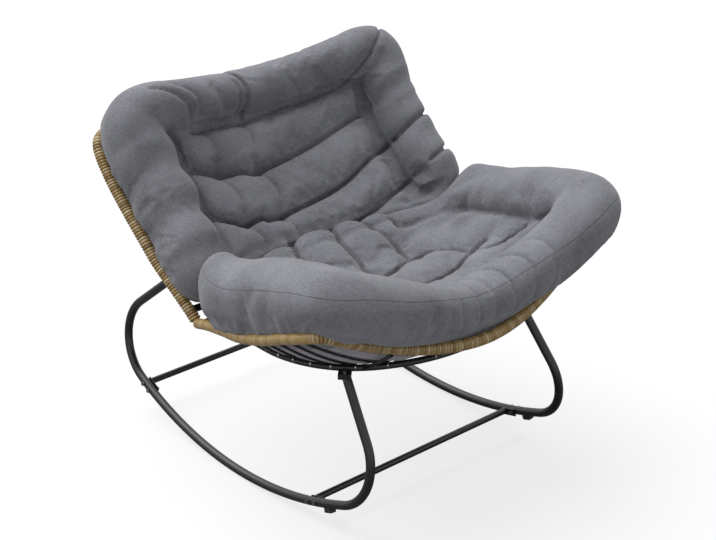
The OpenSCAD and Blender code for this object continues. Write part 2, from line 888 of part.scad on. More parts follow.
// Cushions: a grid for the stuffed field, loops of points round the roll, and a grid below
function edge_cells(nx, ny) = [
    for (j = [0 : ny]) [0, j],
    for (i = [1 : nx]) [i, ny],
    for (j = [ny - 1 : -1 : 0]) [nx, j],
    for (i = [nx - 1 : -1 : 1]) [i, 0]
];
function quad(a, b, c, d, turned) = turned ? [[a, c, b], [a, d, c]] : [[a, b, c], [a, c, d]];
module cushion_solid(nx, ny, top, loops, bottom, sense) {
    edge = edge_cells(nx, ny);
    n = len(edge);
    w = nx + 1;
    first = w * (ny + 1);
    below = first + len(loops) * n;
    function top_edge(k) = edge[k % n][1] * w + edge[k % n][0];
    function index(l, k) =
        l < 0 ? top_edge(k) : l == len(loops) ? below + top_edge(k) : first + l * n + k % n;
    points = [for (row = top) each row, for (l = loops) each l, for (row = bottom) each row];
    faces = [
        for (j = [0 : ny - 1]) for (i = [0 : nx - 1]) let (a = j * w + i)
            each quad(a, a + w, a + w + 1, a + 1, sense > 0),
        for (j = [0 : ny - 1]) for (i = [0 : nx - 1]) let (a = below + j * w + i)
            each quad(a, a + w, a + w + 1, a + 1, sense < 0),
        for (l = [-1 : len(loops) - 1]) for (k = [0 : n - 1])
            each quad(index(l, k), index(l, k + 1), index(l + 1, k + 1), index(l + 1, k), sense < 0)
    ];
    polyhedron(points, faces);
}

// Roll round a cushion: rows of X, Y, height, half width, height above, depth below and draw
function roll_at(rows, corner_a, corner_b, nx, ny, cell, sense) =
    let (i = cell[0], j = cell[1], half = nx / 2, last = len(rows) - 1)
    let (t = j == ny ? corner_a * abs(i - half) / half
        : j == 0 ? lerp(last, corner_b, abs(i - half) / half)
        : lerp(corner_b, corner_a, j / ny))
    let (row = along_loop(rows, t))
    let (ahead = along_loop(rows, min(t + 0.1, last)), behind = along_loop(rows, max(t - 0.1, 0)))
    let (run = unit([ahead[0] - behind[0], ahead[1] - behind[1]]))
    let (out = sense * (t < 0.05 ? [0, -1] : t > last - 0.05 ? [0, 1] : [run[1], -run[0]]))
    i < half ? [flip(row), [-out[0], out[1]]] : [row, out];
// Below its widest line the roll is drawn in by its last value, where the rim holds the cushion
function roll_point(r, angle) =
    let (row = r[0], out = r[1])
    let (reach = cos(angle) * (angle < 0 ? 1 - row[6] * (1 - cos(angle)) : 1))
    let (lift = angle > 0 ? row[4] * sin(angle) : row[5] * sin(angle))
    [row[0] + out[0] * row[3] * reach, row[1] + out[1] * row[3] * reach, row[2] + lift];
ROLL_ANGLES = [160, 128, 96, 64, 32, 0, -32, -62, -95];

// A puff between seams, from 0 on a seam to 1 in the middle
function puff(t) = pow(abs(sin(180 * t)), 0.6);

// Seat cushion
SEAT_ROLL = [
    [0, -480, 536, 74, 72, 62, 0], [120, -490, 560, 75, 74, 66, 0], [250, -503, 615, 78, 76, 77, 0],
    [358, -490, 660, 81, 78, 78, 0.3], [398, -460, 669, 83, 79, 76, 1], [404, -377, 655, 84, 79, 124, 0.6],
    [405, -267, 625, 84, 79, 130, 0.5], [414, -170, 592, 80, 78, 104, 0.4], [412, -116, 573, 74, 74, 92, 0.4],
    [370, -84, 546, 56, 58, 74, 0.4], [310, -44, 512, 32, 38, 40, 0.2], [220, 4, 510, 26, 30, 24, 0],
    [130, 20, 514, 30, 30, 26, 0], [0, 22, 514, 30, 30, 26, 0]
];
seat_nx = 18;
seat_ny = 15;
seat_rear = -12;
seat_front = -404;
function seat_x(s) = s * seat_field;
function seat_y(t) = lerp(seat_rear, seat_front, t);
function seat_rest(s, t) =
    let (side = 512 + 100 * pow(t, 0.9), mid = 482 + 34 * pow(t, 3))
    lerp(mid, side, pow(abs(s), 2.4));
function seat_top(s, t) =
    let (across = puff((s + 1) * 3), deep = puff(t * 5))
    let (rear = 1 - smooth(0.25, 0.5, t), middle = 1 - smooth(0.6, 0.75, abs(s)))
    seat_rest(s, t) + seat_puff * across * lerp(deep, 1, 0.8 * rear * middle);
function seat_floor(x, y) =
    let (rim = rim_row_at(SEAT_RIM, y, 5, 12))
    [x, y, rib_level + over_rib(x, hoop_x(y + seat_hoop_front), rim[0], rim[2] - rib_level)];
function over_seat_ribs(p) = [p[0], p[1], max(p[2], seat_floor(p[0], p[1])[2])];
function seat_grid(top) = [
    for (j = [0 : seat_ny]) [
        for (i = [0 : seat_nx]) let (s = 2 * i / seat_nx - 1, t = j / seat_ny)
        top ? [seat_x(s), seat_y(t), seat_top(s, t)] : seat_floor(0.97 * seat_x(s), lerp(-56, -440, t)) + [0, 0, 8 * (1 - smooth(0, 0.12, t))]
    ]
];
// Hollows for the light filling: from, to and radius. They bring the balance of the whole chair back
// over its rocking line, where the steel frame holds it on the real one. Each has a filling mouth below.
SEAT_HOLLOWS = [
    [[-110, -483, 548], [110, -483, 548], 50], [[148, -490, 572], [358, -490, 660], 56],
    [[402, -400, 660], [412, -180, 596], 55]
];
module filling_hollow(from, to, r) {
    run = to - from;
    translate(from)
        rotate([0, acos(run[2] / norm(run)), atan2(run[1], run[0])])
            cylinder(r = r, h = norm(run));
}
FILLING_MOUTHS = [[0, -483, 548], [0, -230, 455], [250, -490, 615], [406, -300, 630]];
mouth_d = 16;
module seat_hollows() {
    for (at = FILLING_MOUTHS)
        for (side = [-1, 1])
            translate([side * at[0], at[1], at[2] - 200])
                cylinder(d = mouth_d, h = 200);
    filling_hollow(SEAT_HOLLOWS[0][0], SEAT_HOLLOWS[0][1], SEAT_HOLLOWS[0][2]);
    for (row = [1, 2]) {
        filling_hollow(SEAT_HOLLOWS[row][0], SEAT_HOLLOWS[row][1], SEAT_HOLLOWS[row][2]);
        filling_hollow(flip(SEAT_HOLLOWS[row][0]), flip(SEAT_HOLLOWS[row][1]), SEAT_HOLLOWS[row][2]);
    }
    translate([-270, -370, rib_level + 13])
        cube([540, 285, 22]);
}
module seat_cushion() {
    edge = edge_cells(seat_nx, seat_ny);
    loops = [
        for (angle = ROLL_ANGLES) [
            for (cell = edge)
                over_seat_ribs(roll_point(roll_at(SEAT_ROLL, 4, 9, seat_nx, seat_ny, cell, 1), angle))
        ]
    ];
    color(linen)
        difference() {
            cushion_solid(seat_nx, seat_ny, seat_grid(true), loops, seat_grid(false), 1);
            seat_hollows();
        }
}

// Back cushion, in the back's own plane
BACK_ROLL = [
    [0, 497, 66, 64, 72, 72, 0.7], [130, 500, 76, 64, 73, 78, 0.7], [240, 506, 90, 66, 75, 86, 0.7],
    [335, 508, 102, 70, 79, 94, 0.7], [380, 486, 92, 76, 82, 94, 0.7], [386, 425, 68, 77, 84, 84, 0.7],
    [380, 360, 50, 79, 88, 78, 0.7], [381, 285, 44, 79, 86, 76, 0.7], [382, 215, 48, 76, 82, 78, 0.7],
    [382, 150, 52, 68, 76, 84, 0.7], [374, 100, 50, 60, 62, 74, 0.7], [346, 74, 40, 38, 46, 28, 0.5],
    [290, 82, 14, 24, 36, 44, 0.5], [160, 112, 8, 16, 34, 42, 0.5], [0, 112, 8, 16, 34, 42, 0.5]
];
back_nx = 18;
back_ny = 15;
// Seams across the back: height at the middle, and how far each one rises at the sides
BACK_SEAMS = [[120, -18], [182, 46], [306, 42], [436, 10]];
function seam_v(row, s) = BACK_SEAMS[row][0] + BACK_SEAMS[row][1] * s * s;
function back_v(s, t) =
    let (row = min(floor(t * 3), 2))
    lerp(seam_v(row, s), seam_v(row + 1, s), t * 3 - row);
function back_rest(s, t) =
    let (mid = 16 + 6 * t + 44 * pow(t, 4), side = 34 + 44 * pow(t, 4))
    lerp(mid, side, pow(abs(s), 2));
function back_top(s, t) =
    let (tufts = 0.72 + 0.28 * puff((s + 1) * 2.5))
    back_rest(s, t) + back_puff * puff(t * 3) * tufts * (1 - 0.75 * pow(abs(s), 8));
function back_floor(x, v) =
    let (rim = back_rim_row(v, 4, 11))
    [x, v, back_rib_level + over_rib(x, hoop_x(v - back_hoop_start), rim[0], rim[2] - back_rib_level)];
function over_back_ribs(p) = [p[0], p[1], max(p[2], back_floor(p[0], p[1])[2])];
function back_grid(top) = [
    for (j = [0 : back_ny]) [
        for (i = [0 : back_nx]) let (s = 2 * i / back_nx - 1, t = j / back_ny)
        top ? [s * back_field, back_v(s, t), back_top(s, t)]
        : back_floor(0.96 * s * back_field, lerp(120, 478, t) - 24 * pow(s, 4) * (1 - t))
    ]
];
module back_cushion() {
    edge = edge_cells(back_nx, back_ny);
    loops = [
        for (angle = ROLL_ANGLES) [
            for (cell = edge)
                over_back_ribs(roll_point(roll_at(BACK_ROLL, 4, 10, back_nx, back_ny, cell, -1), angle))
        ]
    ];
    color(linen)
        in_back_plane()
            cushion_solid(back_nx, back_ny, back_grid(true), loops, back_grid(false), -1);
}

rocker_left();
rocker_right();
crossbar_front();
crossbar_rear();
crossbar_plugs();
crossbar_bolts();
crossbar_nuts();
floor_pads();
seat_hoop();
back_hoop();
leg_plates();
leg_saddles();
leg_bolts();
leg_nuts();
arm_plates();
arm_saddles();
arm_bolts();
arm_nuts();
seat_rim_tube();
seat_rim_winding();
seat_rear_bar();
seat_rear_posts();
seat_ribs();
front_struts();
back_rim_tube();
back_rim_winding();
back_lower_bar();
back_ribs();
seat_lugs();
back_lugs();
lug_bolts();
lug_nuts();
seat_cushion();
back_cushion();
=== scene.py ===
import math

import bpy
import numpy as np
from mathutils import Matrix, Vector


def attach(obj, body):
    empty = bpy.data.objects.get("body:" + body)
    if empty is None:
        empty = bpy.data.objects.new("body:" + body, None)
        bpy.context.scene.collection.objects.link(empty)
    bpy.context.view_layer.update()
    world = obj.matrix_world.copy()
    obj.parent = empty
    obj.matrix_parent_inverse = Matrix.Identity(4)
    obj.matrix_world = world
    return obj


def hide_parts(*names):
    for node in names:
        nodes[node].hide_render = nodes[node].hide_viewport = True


# Outdoor rocking chair in a plain studio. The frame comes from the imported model. This script
# gives it its finishes and makes the wound rims, the sewn cushions and the small weld beads.
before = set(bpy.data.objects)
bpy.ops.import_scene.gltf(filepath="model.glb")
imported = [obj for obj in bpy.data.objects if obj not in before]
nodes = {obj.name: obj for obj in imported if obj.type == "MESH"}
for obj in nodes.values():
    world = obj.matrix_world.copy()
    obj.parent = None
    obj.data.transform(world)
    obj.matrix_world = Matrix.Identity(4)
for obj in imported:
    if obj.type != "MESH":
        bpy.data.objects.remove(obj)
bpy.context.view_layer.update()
scene = bpy.context.scene
MM = 0.001


# Camera at the photograph's angle: it looks down at the front corner on the sitter's right
def make_camera():
    data = bpy.data.cameras.new("photo_camera")
    camera = bpy.data.objects.new("photo_camera", data)
    scene.collection.objects.link(camera)
    aim = Vector((0.07124, 0.0, 0.42934))
    back = Vector((-0.5914, -0.6815, 0.4311)).normalized()
    distance = 4.5856
    camera.location = aim + back * distance
    camera.rotation_mode = "QUATERNION"
    camera.rotation_quaternion = (-back).to_track_quat("-Z", "Y")
    data.lens = 90.63
    data.sensor_width = 36
    data.clip_start, data.clip_end = 0.05, 60
    scene.camera = camera


make_camera()


# Finishes
def srgb(code):
    """A colour code as the linear light that a shader takes."""
    parts = [int(code[i:i + 2], 16) / 255 for i in (1, 3, 5)]
    linear = [p / 12.92 if p <= 0.04045 else ((p + 0.055) / 1.055) ** 2.4 for p in parts]
    return (*linear, 1.0)


def add_node(tree, kind, inputs=None, **settings):
    """One node with its settings, and each named input set to a value or linked to a socket."""
    made = tree.nodes.new(kind)
    for key, value in settings.items():
        setattr(made, key, value)
    for key, value in (inputs or {}).items():
        if isinstance(value, bpy.types.NodeSocket):
            tree.links.new(value, made.inputs[key])
        else:
            made.inputs[key].default_value = value
    return made


def new_finish(name, **constants):
    """A material with one shader, whose plain numbers are set on its own sockets."""
    finish = bpy.data.materials.new(name)
    finish.use_nodes = True
    tree = finish.node_tree
    tree.nodes.clear()
    inputs = {key.replace("_", " "): value for key, value in constants.items()}
    shader = add_node(tree, "ShaderNodeBsdfPrincipled", inputs)
    out = add_node(tree, "ShaderNodeOutputMaterial", {"Surface": shader.outputs[0]})
    place = add_node(tree, "ShaderNodeTexCoord").outputs["Object"]
    return finish, tree, shader, place, out


def colour_ramp(tree, factor, stops):
    """A ramp of colours. The first two stops are its ends, and others lie between them."""
    ramp = add_node(tree, "ShaderNodeValToRGB", {"Fac": factor})
    band = ramp.color_ramp
    for i, (at, code) in enumerate(stops):
        stop = band.elements[i] if i < 2 else band.elements.new(at)
        stop.position = at
        stop.color = srgb(code)
    return ramp.outputs["Color"]


# Powder coat on bent steel tube: a near black with the fine orange peel of a baked coat, so that
# its highlights along the tube are soft and slightly broken
def powder_coat():
    finish, tree, shader, place, _ = new_finish("satin_powder_coat", Roughness=0.3, IOR=1.5)
    mottle = add_node(tree, "ShaderNodeTexNoise", {"Vector": place, "Scale": 35.0, "Detail": 4.0})
    tree.links.new(colour_ramp(tree, mottle.outputs["Fac"], [(0.35, "#121315"), (0.7, "#1b1c1f")]),
                   shader.inputs["Base Color"])
    # The real orange peel is about 1.2 mm across
    peel = add_node(tree, "ShaderNodeTexNoise", {"Vector": place, "Scale": 800.0, "Detail": 2.0})
    bump = add_node(tree, "ShaderNodeBump",
                    {"Height": peel.outputs["Fac"], "Strength": 0.12, "Distance": 0.0004})
    tree.links.new(bump.outputs[0], shader.inputs["Normal"])
    return finish


# Blackened zinc plate on bolts and nuts: a dark metal that still glints where tools rub it
def blackened_zinc():
    finish, tree, shader, place, _ = new_finish("blackened_zinc", Metallic=1.0, Roughness=0.34)
    wear = add_node(tree, "ShaderNodeTexNoise", {"Vector": place, "Scale": 260.0, "Detail": 5.0})
    tree.links.new(colour_ramp(tree, wear.outputs["Fac"], [(0.4, "#55565a"), (0.72, "#a9aaae")]),
                   shader.inputs["Base Color"])
    bump = add_node(tree, "ShaderNodeBump",
                    {"Height": wear.outputs["Fac"], "Strength": 0.2, "Distance": 0.0003})
    tree.links.new(bump.outputs[0], shader.inputs["Normal"])
    return finish


# Moulded rubber of the stops: dull, with the fine grain of the mould and a little floor dust
def moulded_rubber():
    finish, tree, shader, place, _ = new_finish("moulded_rubber", Roughness=0.8, IOR=1.52)
    grain = add_node(tree, "ShaderNodeTexNoise", {"Vector": place, "Scale": 900.0, "Detail": 3.0})
    dust = add_node(tree, "ShaderNodeTexNoise", {"Vector": place, "Scale": 60.0, "Detail": 3.0})
    tree.links.new(colour_ramp(tree, dust.outputs["Fac"], [(0.4, "#141414"), (0.8, "#2c2b2a")]),
                   shader.inputs["Base Color"])
    bump = add_node(tree, "ShaderNodeBump",
                    {"Height": grain.outputs["Fac"], "Strength": 0.4, "Distance": 0.0004})
    tree.links.new(bump.outputs[0], shader.inputs["Normal"])
    return finish


# Extruded resin strand, wound round the rims: tan to gold, each turn a little lighter or darker,
# with a satin face, drawn lines along the strand and painted shade in the gaps between the turns
def wound_strand():
    finish, tree, shader, place, _ = new_finish("wound_resin_strand", Roughness=0.33, IOR=1.49)
    turn = add_node(tree, "ShaderNodeAttribute", attribute_name="turn_shade").outputs["Fac"]
    gap = add_node(tree, "ShaderNodeAttribute", attribute_name="turn_gap_shade").outputs["Fac"]
    face = colour_ramp(tree, turn, [(0.0, "#8a6a36"), (1.0, "#e8d3a6"), (0.5, "#bd9c5e")])
    fibre = add_node(tree, "ShaderNodeTexNoise", {"Vector": place, "Scale": 420.0, "Detail": 3.0})
    fibre_tone = colour_ramp(tree, fibre.outputs["Fac"], [(0.3, "#c9c9c9"), (0.7, "#ffffff")])
    toned = add_node(tree, "ShaderNodeMix", {"Factor": 1.0, "A": face, "B": fibre_tone},
                     data_type="RGBA", blend_type="MULTIPLY")
    # Painted shade in the gaps between the turns, a dark brown
    dark = add_node(tree, "ShaderNodeMix",
                    {"Factor": gap, "A": toned.outputs["Result"], "B": srgb("#1f1508")}, data_type="RGBA")
    tree.links.new(dark.outputs["Result"], shader.inputs["Base Color"])
    bump = add_node(tree, "ShaderNodeBump",
                    {"Height": fibre.outputs["Fac"], "Strength": 0.25, "Distance": 0.0004})
    tree.links.new(bump.outputs[0], shader.inputs["Normal"])
    return finish


# Solution-dyed woven cloth with a linen look: matt melange grey, slubs along both threads, a soft
# sheen at grazing angles, darker thread lines in the seams and painted shade in the seam creases
def woven_cloth(name, light, mid, dark):
    finish, tree, shader, place, _ = new_finish(name, Roughness=0.92, IOR=1.45, Sheen_Weight=0.25,
                                                Sheen_Roughness=0.5, Specular_IOR_Level=0.25)
    # The real threads are 0.6 mm apart, too fine to show, so the slubs are drawn 1.6 mm wide and
    # 20 mm long
    slubs = []
    for stretch in ((50, 620, 620), (620, 50, 620), (620, 620, 50)):
        laid = add_node(tree, "ShaderNodeMapping", {"Vector": place, "Scale": stretch})
        slubs.append(add_node(tree, "ShaderNodeTexNoise",
                              {"Vector": laid.outputs[0], "Scale": 1.0, "Detail": 2.0}).outputs["Fac"])
    two = add_node(tree, "ShaderNodeMath", {0: slubs[0], 1: slubs[1]}, operation="ADD").outputs[0]
    three = add_node(tree, "ShaderNodeMath", {0: two, 1: slubs[2]}, operation="ADD").outputs[0]
    weave = add_node(tree, "ShaderNodeMath", {0: three, 1: 1.0 / 3}, operation="MULTIPLY").outputs[0]
    # Dye and wear differ over a hand's width
    patch = add_node(tree, "ShaderNodeTexNoise",
                     {"Vector": place, "Scale": 9.0, "Detail": 4.0}).outputs["Fac"]
    soft = add_node(tree, "ShaderNodeMath", {0: patch, 1: 0.35, 2: -0.175},
                    operation="MULTIPLY_ADD").outputs[0]
    tone = add_node(tree, "ShaderNodeMath", {0: weave, 1: soft}, operation="ADD").outputs[0]
    cloth = colour_ramp(tree, tone, [(0.36, dark), (0.66, light), (0.5, mid)])
    side = add_node(tree, "ShaderNodeAttribute", attribute_name="seam_line").outputs["Fac"]
    seam = add_node(tree, "ShaderNodeMath", {0: side}, operation="ABSOLUTE").outputs[0]
    # The thread line is 1.6 mm wide and fades over 1.4 mm on each side
    line = add_node(tree, "ShaderNodeMapRange", {"Value": seam, "From Min": 0.8, "From Max": 2.2,
                                                 "To Min": 1.0, "To Max": 0.0}).outputs[0]
    # Painted shade in the seam creases, added to the dark of the thread lines
    crease = add_node(tree, "ShaderNodeAttribute", attribute_name="crease").outputs["Fac"]
    crease_shade = add_node(tree, "ShaderNodeMath", {0: crease, 1: 0.6}, operation="MULTIPLY").outputs[0]
    thread_line_and_shade = add_node(tree, "ShaderNodeMath", {0: line, 1: 0.32, 2: crease_shade}, operation="MULTIPLY_ADD",
                      use_clamp=True).outputs[0]
    # Thread lines and the painted crease shade both darken the cloth towards this grey
    sewn = add_node(tree, "ShaderNodeMix", {"Factor": thread_line_and_shade, "A": cloth, "B": srgb("#2c2d31")},
                    data_type="RGBA")
    tree.links.new(sewn.outputs["Result"], shader.inputs["Base Color"])
    bump = add_node(tree, "ShaderNodeBump", {"Height": weave, "Strength": 0.5, "Distance": 0.0005})
    dip = add_node(tree, "ShaderNodeBump", {"Height": line, "Strength": 0.5, "Distance": 0.0015,
                                            "Normal": bump.outputs[0]}, invert=True)
    tree.links.new(dip.outputs[0], shader.inputs["Normal"])
    return finish


coat = powder_coat()
zinc = blackened_zinc()
rubber = moulded_rubber()
strand = wound_strand()
linen = woven_cloth("woven_melange_cloth", "#95969b", "#7f8085", "#66676b")
lining = woven_cloth("plain_lining_cloth", "#bdb7bd", "#aaa4aa", "#948e95")

FINISHES = {
    coat: ["rocker_left", "rocker_right", "crossbar_front", "crossbar_rear", "seat_hoop", "back_hoop",
           "leg_plates", "leg_saddles", "arm_plates", "arm_saddles", "seat_rim_tube", "back_rim_tube",
           "seat_rear_bar", "seat_rear_posts", "seat_ribs", "front_struts", "back_lower_bar", "back_ribs",
           "seat_lugs", "back_lugs"],
    zinc: ["crossbar_bolts", "crossbar_nuts", "crossbar_plugs", "leg_bolts", "leg_nuts", "arm_bolts",
           "arm_nuts", "lug_bolts", "lug_nuts"],
    rubber: ["floor_pads"],
}
for finish, names in FINISHES.items():
    for name in names:
        node = nodes[name]
        if not node.material_slots:
            node.data.materials.append(finish)
        for slot in node.material_slots:
            slot.material = finish


# Shapes shared with the frame, in millimetres, from the middle of the chair to one side. A seat row
# starts with X, Y and Z. A back row starts with X, the distance up the back and the distance in front
# of its plane. A roll's row goes on with its half width, its heights over and under its middle, and how
# flat its outer lower side is.
JOINT_FRONT, JOINT_Z, BACK_RISE = 7, 453, math.radians(42)
SEAT_RIM = [
    (0, -540, 475), (100, -532, 482), (200, -512, 501), (300, -491, 534), (390, -487, 577),
    (440, -472, 597), (464, -432, 587), (470, -370, 564), (470, -300, 533), (464, -207, 501),
    (456, -137, 487), (447, -62, 470), (440, -10, 453)]
BACK_RIM = [
    (0, 532, -22), (130, 535, -18), (280, 540, -10), (380, 540, -4), (430, 524, 2),
    (450, 488, 2), (456, 415, -4), (457, 320, -5), (455, 240, -6), (451, 180, -10),
    (446, 95, -2), (440, 26, 0), (439, 8, 0)]
SEAT_ROLL = [
    (0, -480, 536, 74, 72, 66, 0), (120, -490, 560, 75, 74, 72, 0), (250, -503, 615, 78, 76, 88, 0),
    (358, -490, 660, 81, 78, 92, 0.3), (398, -460, 669, 83, 79, 90, 1), (404, -377, 655, 84, 79, 128, 0.6),
    (405, -267, 625, 84, 79, 132, 0.5), (414, -170, 592, 80, 78, 116, 0.4),
    (412, -112, 577, 75, 82, 112, 0.4), (390, -68, 572, 62, 80, 106, 0.4),
    (320, -26, 522, 42, 46, 52, 0.2), (225, 12, 514, 34, 36, 28, 0),
    (130, 28, 518, 38, 38, 28, 0), (0, 32, 518, 40, 40, 28, 0)]
BACK_ROLL = [
    (0, 508, 66, 64, 72, 72, 0.7), (130, 506, 76, 64, 73, 78, 0.7), (240, 506, 90, 66, 75, 86, 0.7),
    (337, 509, 102, 71, 79, 94, 0.7), (382, 488, 92, 78, 82, 94, 0.7), (386, 425, 68, 77, 84, 84, 0.7),
    (380, 360, 50, 79, 88, 78, 0.7), (381, 285, 44, 79, 86, 76, 0.7), (382, 215, 48, 76, 82, 78, 0.7),
    (388, 150, 52, 76, 78, 84, 0.7), (388, 96, 50, 72, 68, 76, 0.7), (350, 70, 40, 44, 48, 30, 0.5),
    (290, 80, 14, 28, 38, 44, 0.5), (160, 98, 8, 28, 38, 42, 0.5), (0, 96, 8, 28, 38, 42, 0.5)]
SEAT_FIELD, BACK_FIELD = 335, 290
SEAT_REAR, SEAT_FRONT = -12, -404
# How high the puffs stand, and how far from their field's edge they are at full height
SEAT_PUFF, BACK_PUFF, PUFF_REACH = 19, 24, 50
# The covers are cut this much small, or a share of a thin roll, and the air fills them out again
CUT_SMALL, CUT_SHARE = 7, 0.12
# The hoops' ends: how far forward the seat's lies, and how far up the back its own two lie
SEAT_HOOP_END, BACK_HOOP_START, BACK_HOOP_END = 470, 90, 495
HOOP_HALF, HOOP_END_R, HOOP_END_HALF = 363, 448, math.radians(31)
HOOP_SIDE_R = (HOOP_HALF - HOOP_END_R * math.sin(HOOP_END_HALF)) / (1 - math.sin(HOOP_END_HALF))
HOOP_SIDE_X = HOOP_HALF - HOOP_SIDE_R
HOOP_SIDE_Y = HOOP_END_R - (HOOP_END_R - HOOP_SIDE_R) * math.cos(HOOP_END_HALF)
SEAT_RIB_LEVEL, BACK_RIB_LEVEL = 435.3, -38.7
# How far inside and under a rim's middle the ribs meet it, and a rib's top over its own middle
RIM_TUCK, RIB_TOP = 17 * 0.74, 3.3


def blend4(a, b, c, d, t):
    """A smooth curve from b to c that heads in from a and out to d."""
    return (2 * b + (c - a) * t + (2 * a - 5 * b + 4 * c - d) * t * t
            + (3 * b - a - 3 * c + d) * t ** 3) / 2


def mirrored(row):
    return np.array([-row[0], *row[1:]], float)


def along(rows, t, closed=False):
    """The row at t, counted in rows from the middle. A closed run goes on mirrored at its last row."""
    rows = np.asarray(rows, float)
    last = len(rows) - 1
    i = min(int(t), last - 1)
    before = mirrored(rows[1]) if i == 0 else rows[i - 1]
    if i < last - 1:
        after = rows[i + 2]
    else:
        after = mirrored(rows[last - 1]) if closed else 2 * rows[last] - rows[last - 1]
    return blend4(before, rows[i], rows[i + 1], after, t - i)


def both(rows, s):
    """The row at a share of the way out from the middle, to one side or the other."""
    point = along(rows, abs(s) * (len(rows) - 1))
    return mirrored(point) if s < 0 else point


def to_world(points, leaning):
    """Points in millimetres, in the back's own plane or the seat's, as places in metres."""
    p = np.asarray(points, float)
    if leaning:
        c, s = math.cos(BACK_RISE), math.sin(BACK_RISE)
        p = np.stack([p[..., 0], -JOINT_FRONT + p[..., 1] * c - p[..., 2] * s,
                      JOINT_Z + p[..., 1] * s + p[..., 2] * c], -1)
    return p * MM


def to_plane(points, leaning):
    """The way back, from places in metres to the plane's own millimetres."""
    p = np.asarray(points, float) / MM
    if not leaning:
        return p
    c, s = math.cos(BACK_RISE), math.sin(BACK_RISE)
    y, z = p[:, 1] + JOINT_FRONT, p[:, 2] - JOINT_Z
    return np.stack([p[:, 0], y * c + z * s, z * c - y * s], -1)


def smooth(low, high, v):
    t = np.clip((v - low) / (high - low), 0, 1)
    return t * t * (3 - 2 * t)


# Modelling helpers
def deselect():
    if bpy.context.object and bpy.context.object.mode != "OBJECT":
        bpy.ops.object.mode_set(mode="OBJECT")
    bpy.ops.object.select_all(action="DESELECT")


def make_active(piece):
    deselect()
    piece.select_set(True)
    bpy.context.view_layer.objects.active = piece


def apply_modifier(piece, kind, **settings):
    make_active(piece)
    modifier = piece.modifiers.new(kind.lower(), kind)
    for key, value in settings.items():
        setattr(modifier, key, value)
    bpy.ops.object.modifier_apply(modifier=modifier.name)


def settle_at_origin(piece):
    make_active(piece)
    bpy.ops.object.transform_apply(location=True, rotation=True, scale=True)


def hand_over(piece, slot, finish, *stands_for):
    """Gives a piece its finish, unless it has its own, and its body, and hides the solids it replaces. Its
    slot is not used.
    """
    if finish is not None:
        piece.data.materials.clear()
        piece.data.materials.append(finish)
    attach(piece, "root")
    if stands_for:
        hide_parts(*stands_for)


def vertices(piece):
    co = np.empty(len(piece.data.vertices) * 3)
    piece.data.vertices.foreach_get("co", co)
    return co.reshape(-1, 3)


def set_vertices(piece, co):
    piece.data.vertices.foreach_set("co", np.asarray(co, float).ravel())
    piece.data.update()


def normals(piece):
    n = np.empty(len(piece.data.vertices) * 3)
    piece.data.vertex_normals.foreach_get("vector", n)
    return n.reshape(-1, 3)


def store(piece, name, values):
    layer = piece.data.attributes.new(name, "FLOAT", "POINT")
    layer.data.foreach_set("value", np.asarray(values, np.float32))


# Wound rims: one turn of strand is extruded from a circle, repeated, and bent along the rim. A turn
# swells from the gap's radius to the wrap's, and is then flattened as much as its place asks for.
WRAP_R, TURN_RISE, FLAT_R = 14.0, 1.9, 12.7
GAP_R = WRAP_R - TURN_RISE
STRAND_PITCH, TURN_RINGS = 7.5, 6


def strand_turns(name, pitch, turns):
    """A straight tube of turns along X."""
    deselect()
    bpy.ops.mesh.primitive_circle_add(vertices=20, radius=GAP_R * MM, rotation=(0, math.pi / 2, 0))
    piece = bpy.context.object
    piece.name = name
    settle_at_origin(piece)
    bpy.ops.object.mode_set(mode="EDIT")
    bpy.ops.mesh.select_all(action="SELECT")
    was = 0.0
    for ring in range(1, TURN_RINGS + 1):
        now = math.sin(math.pi * ring / TURN_RINGS) ** 0.7 if ring < TURN_RINGS else 0.0
        step = (pitch / TURN_RINGS * MM, 0, 0)
        bpy.ops.mesh.extrude_region_move(TRANSFORM_OT_translate={"value": step})
        grow = (GAP_R + TURN_RISE * now) / (GAP_R + TURN_RISE * was)
        bpy.ops.transform.resize(value=(1, grow, grow), center_override=(0, 0, 0))
        was = now
    bpy.ops.object.mode_set(mode="OBJECT")
    apply_modifier(piece, "ARRAY", fit_type="FIXED_COUNT", count=turns, use_relative_offset=False,
                   use_constant_offset=True, constant_offset_displace=(pitch * MM, 0, 0),
                   use_merge_vertices=True, merge_threshold=0.0002)
    make_active(piece)
    bpy.ops.object.mode_set(mode="EDIT")
    bpy.ops.mesh.select_all(action="SELECT")
    bpy.ops.mesh.fill_holes(sides=40)
    bpy.ops.mesh.normals_make_consistent(inside=False)
    bpy.ops.object.mode_set(mode="OBJECT")
    return piece


def shape_turns(piece, pitch, total, bulge):
    """Makes each turn as flat or full as its place asks for, and stores its tone and the painted shade of
    its gaps.
    """
    co = vertices(piece)
    at = co[:, 0] / MM
    radius = np.hypot(co[:, 1], co[:, 2]) / MM
    share = bulge(at / total)
    lift = np.clip((radius - GAP_R) / TURN_RISE, 0, 1)
    # A flat turn stands 0.5 mm out of its gaps, and a full one 3.5 mm
    wanted = FLAT_R + (lift - 0.7) * (0.5 + 3.0 * share) + 0.9 * share
    co[:, 1:] *= (wanted / radius)[:, None]
    set_vertices(piece, co)
    # Each turn has its own tone, more uneven where the strand bulges
    which = np.floor(at / pitch + 1e-4)
    uneven = np.sin(which * 2.4) * np.sin(which * 0.7 + 1) + 0.6 * np.sin(which * 5.1)
    store(piece, "turn_shade", np.clip(0.55 + (0.12 + 0.2 * share) * uneven, 0, 1))
    # Painted shade in the gaps between turns, deeper where the strand bulges
    store(piece, "turn_gap_shade", np.clip(1.15 - lift * 1.7, 0, 1) * (0.25 + 0.75 * share))


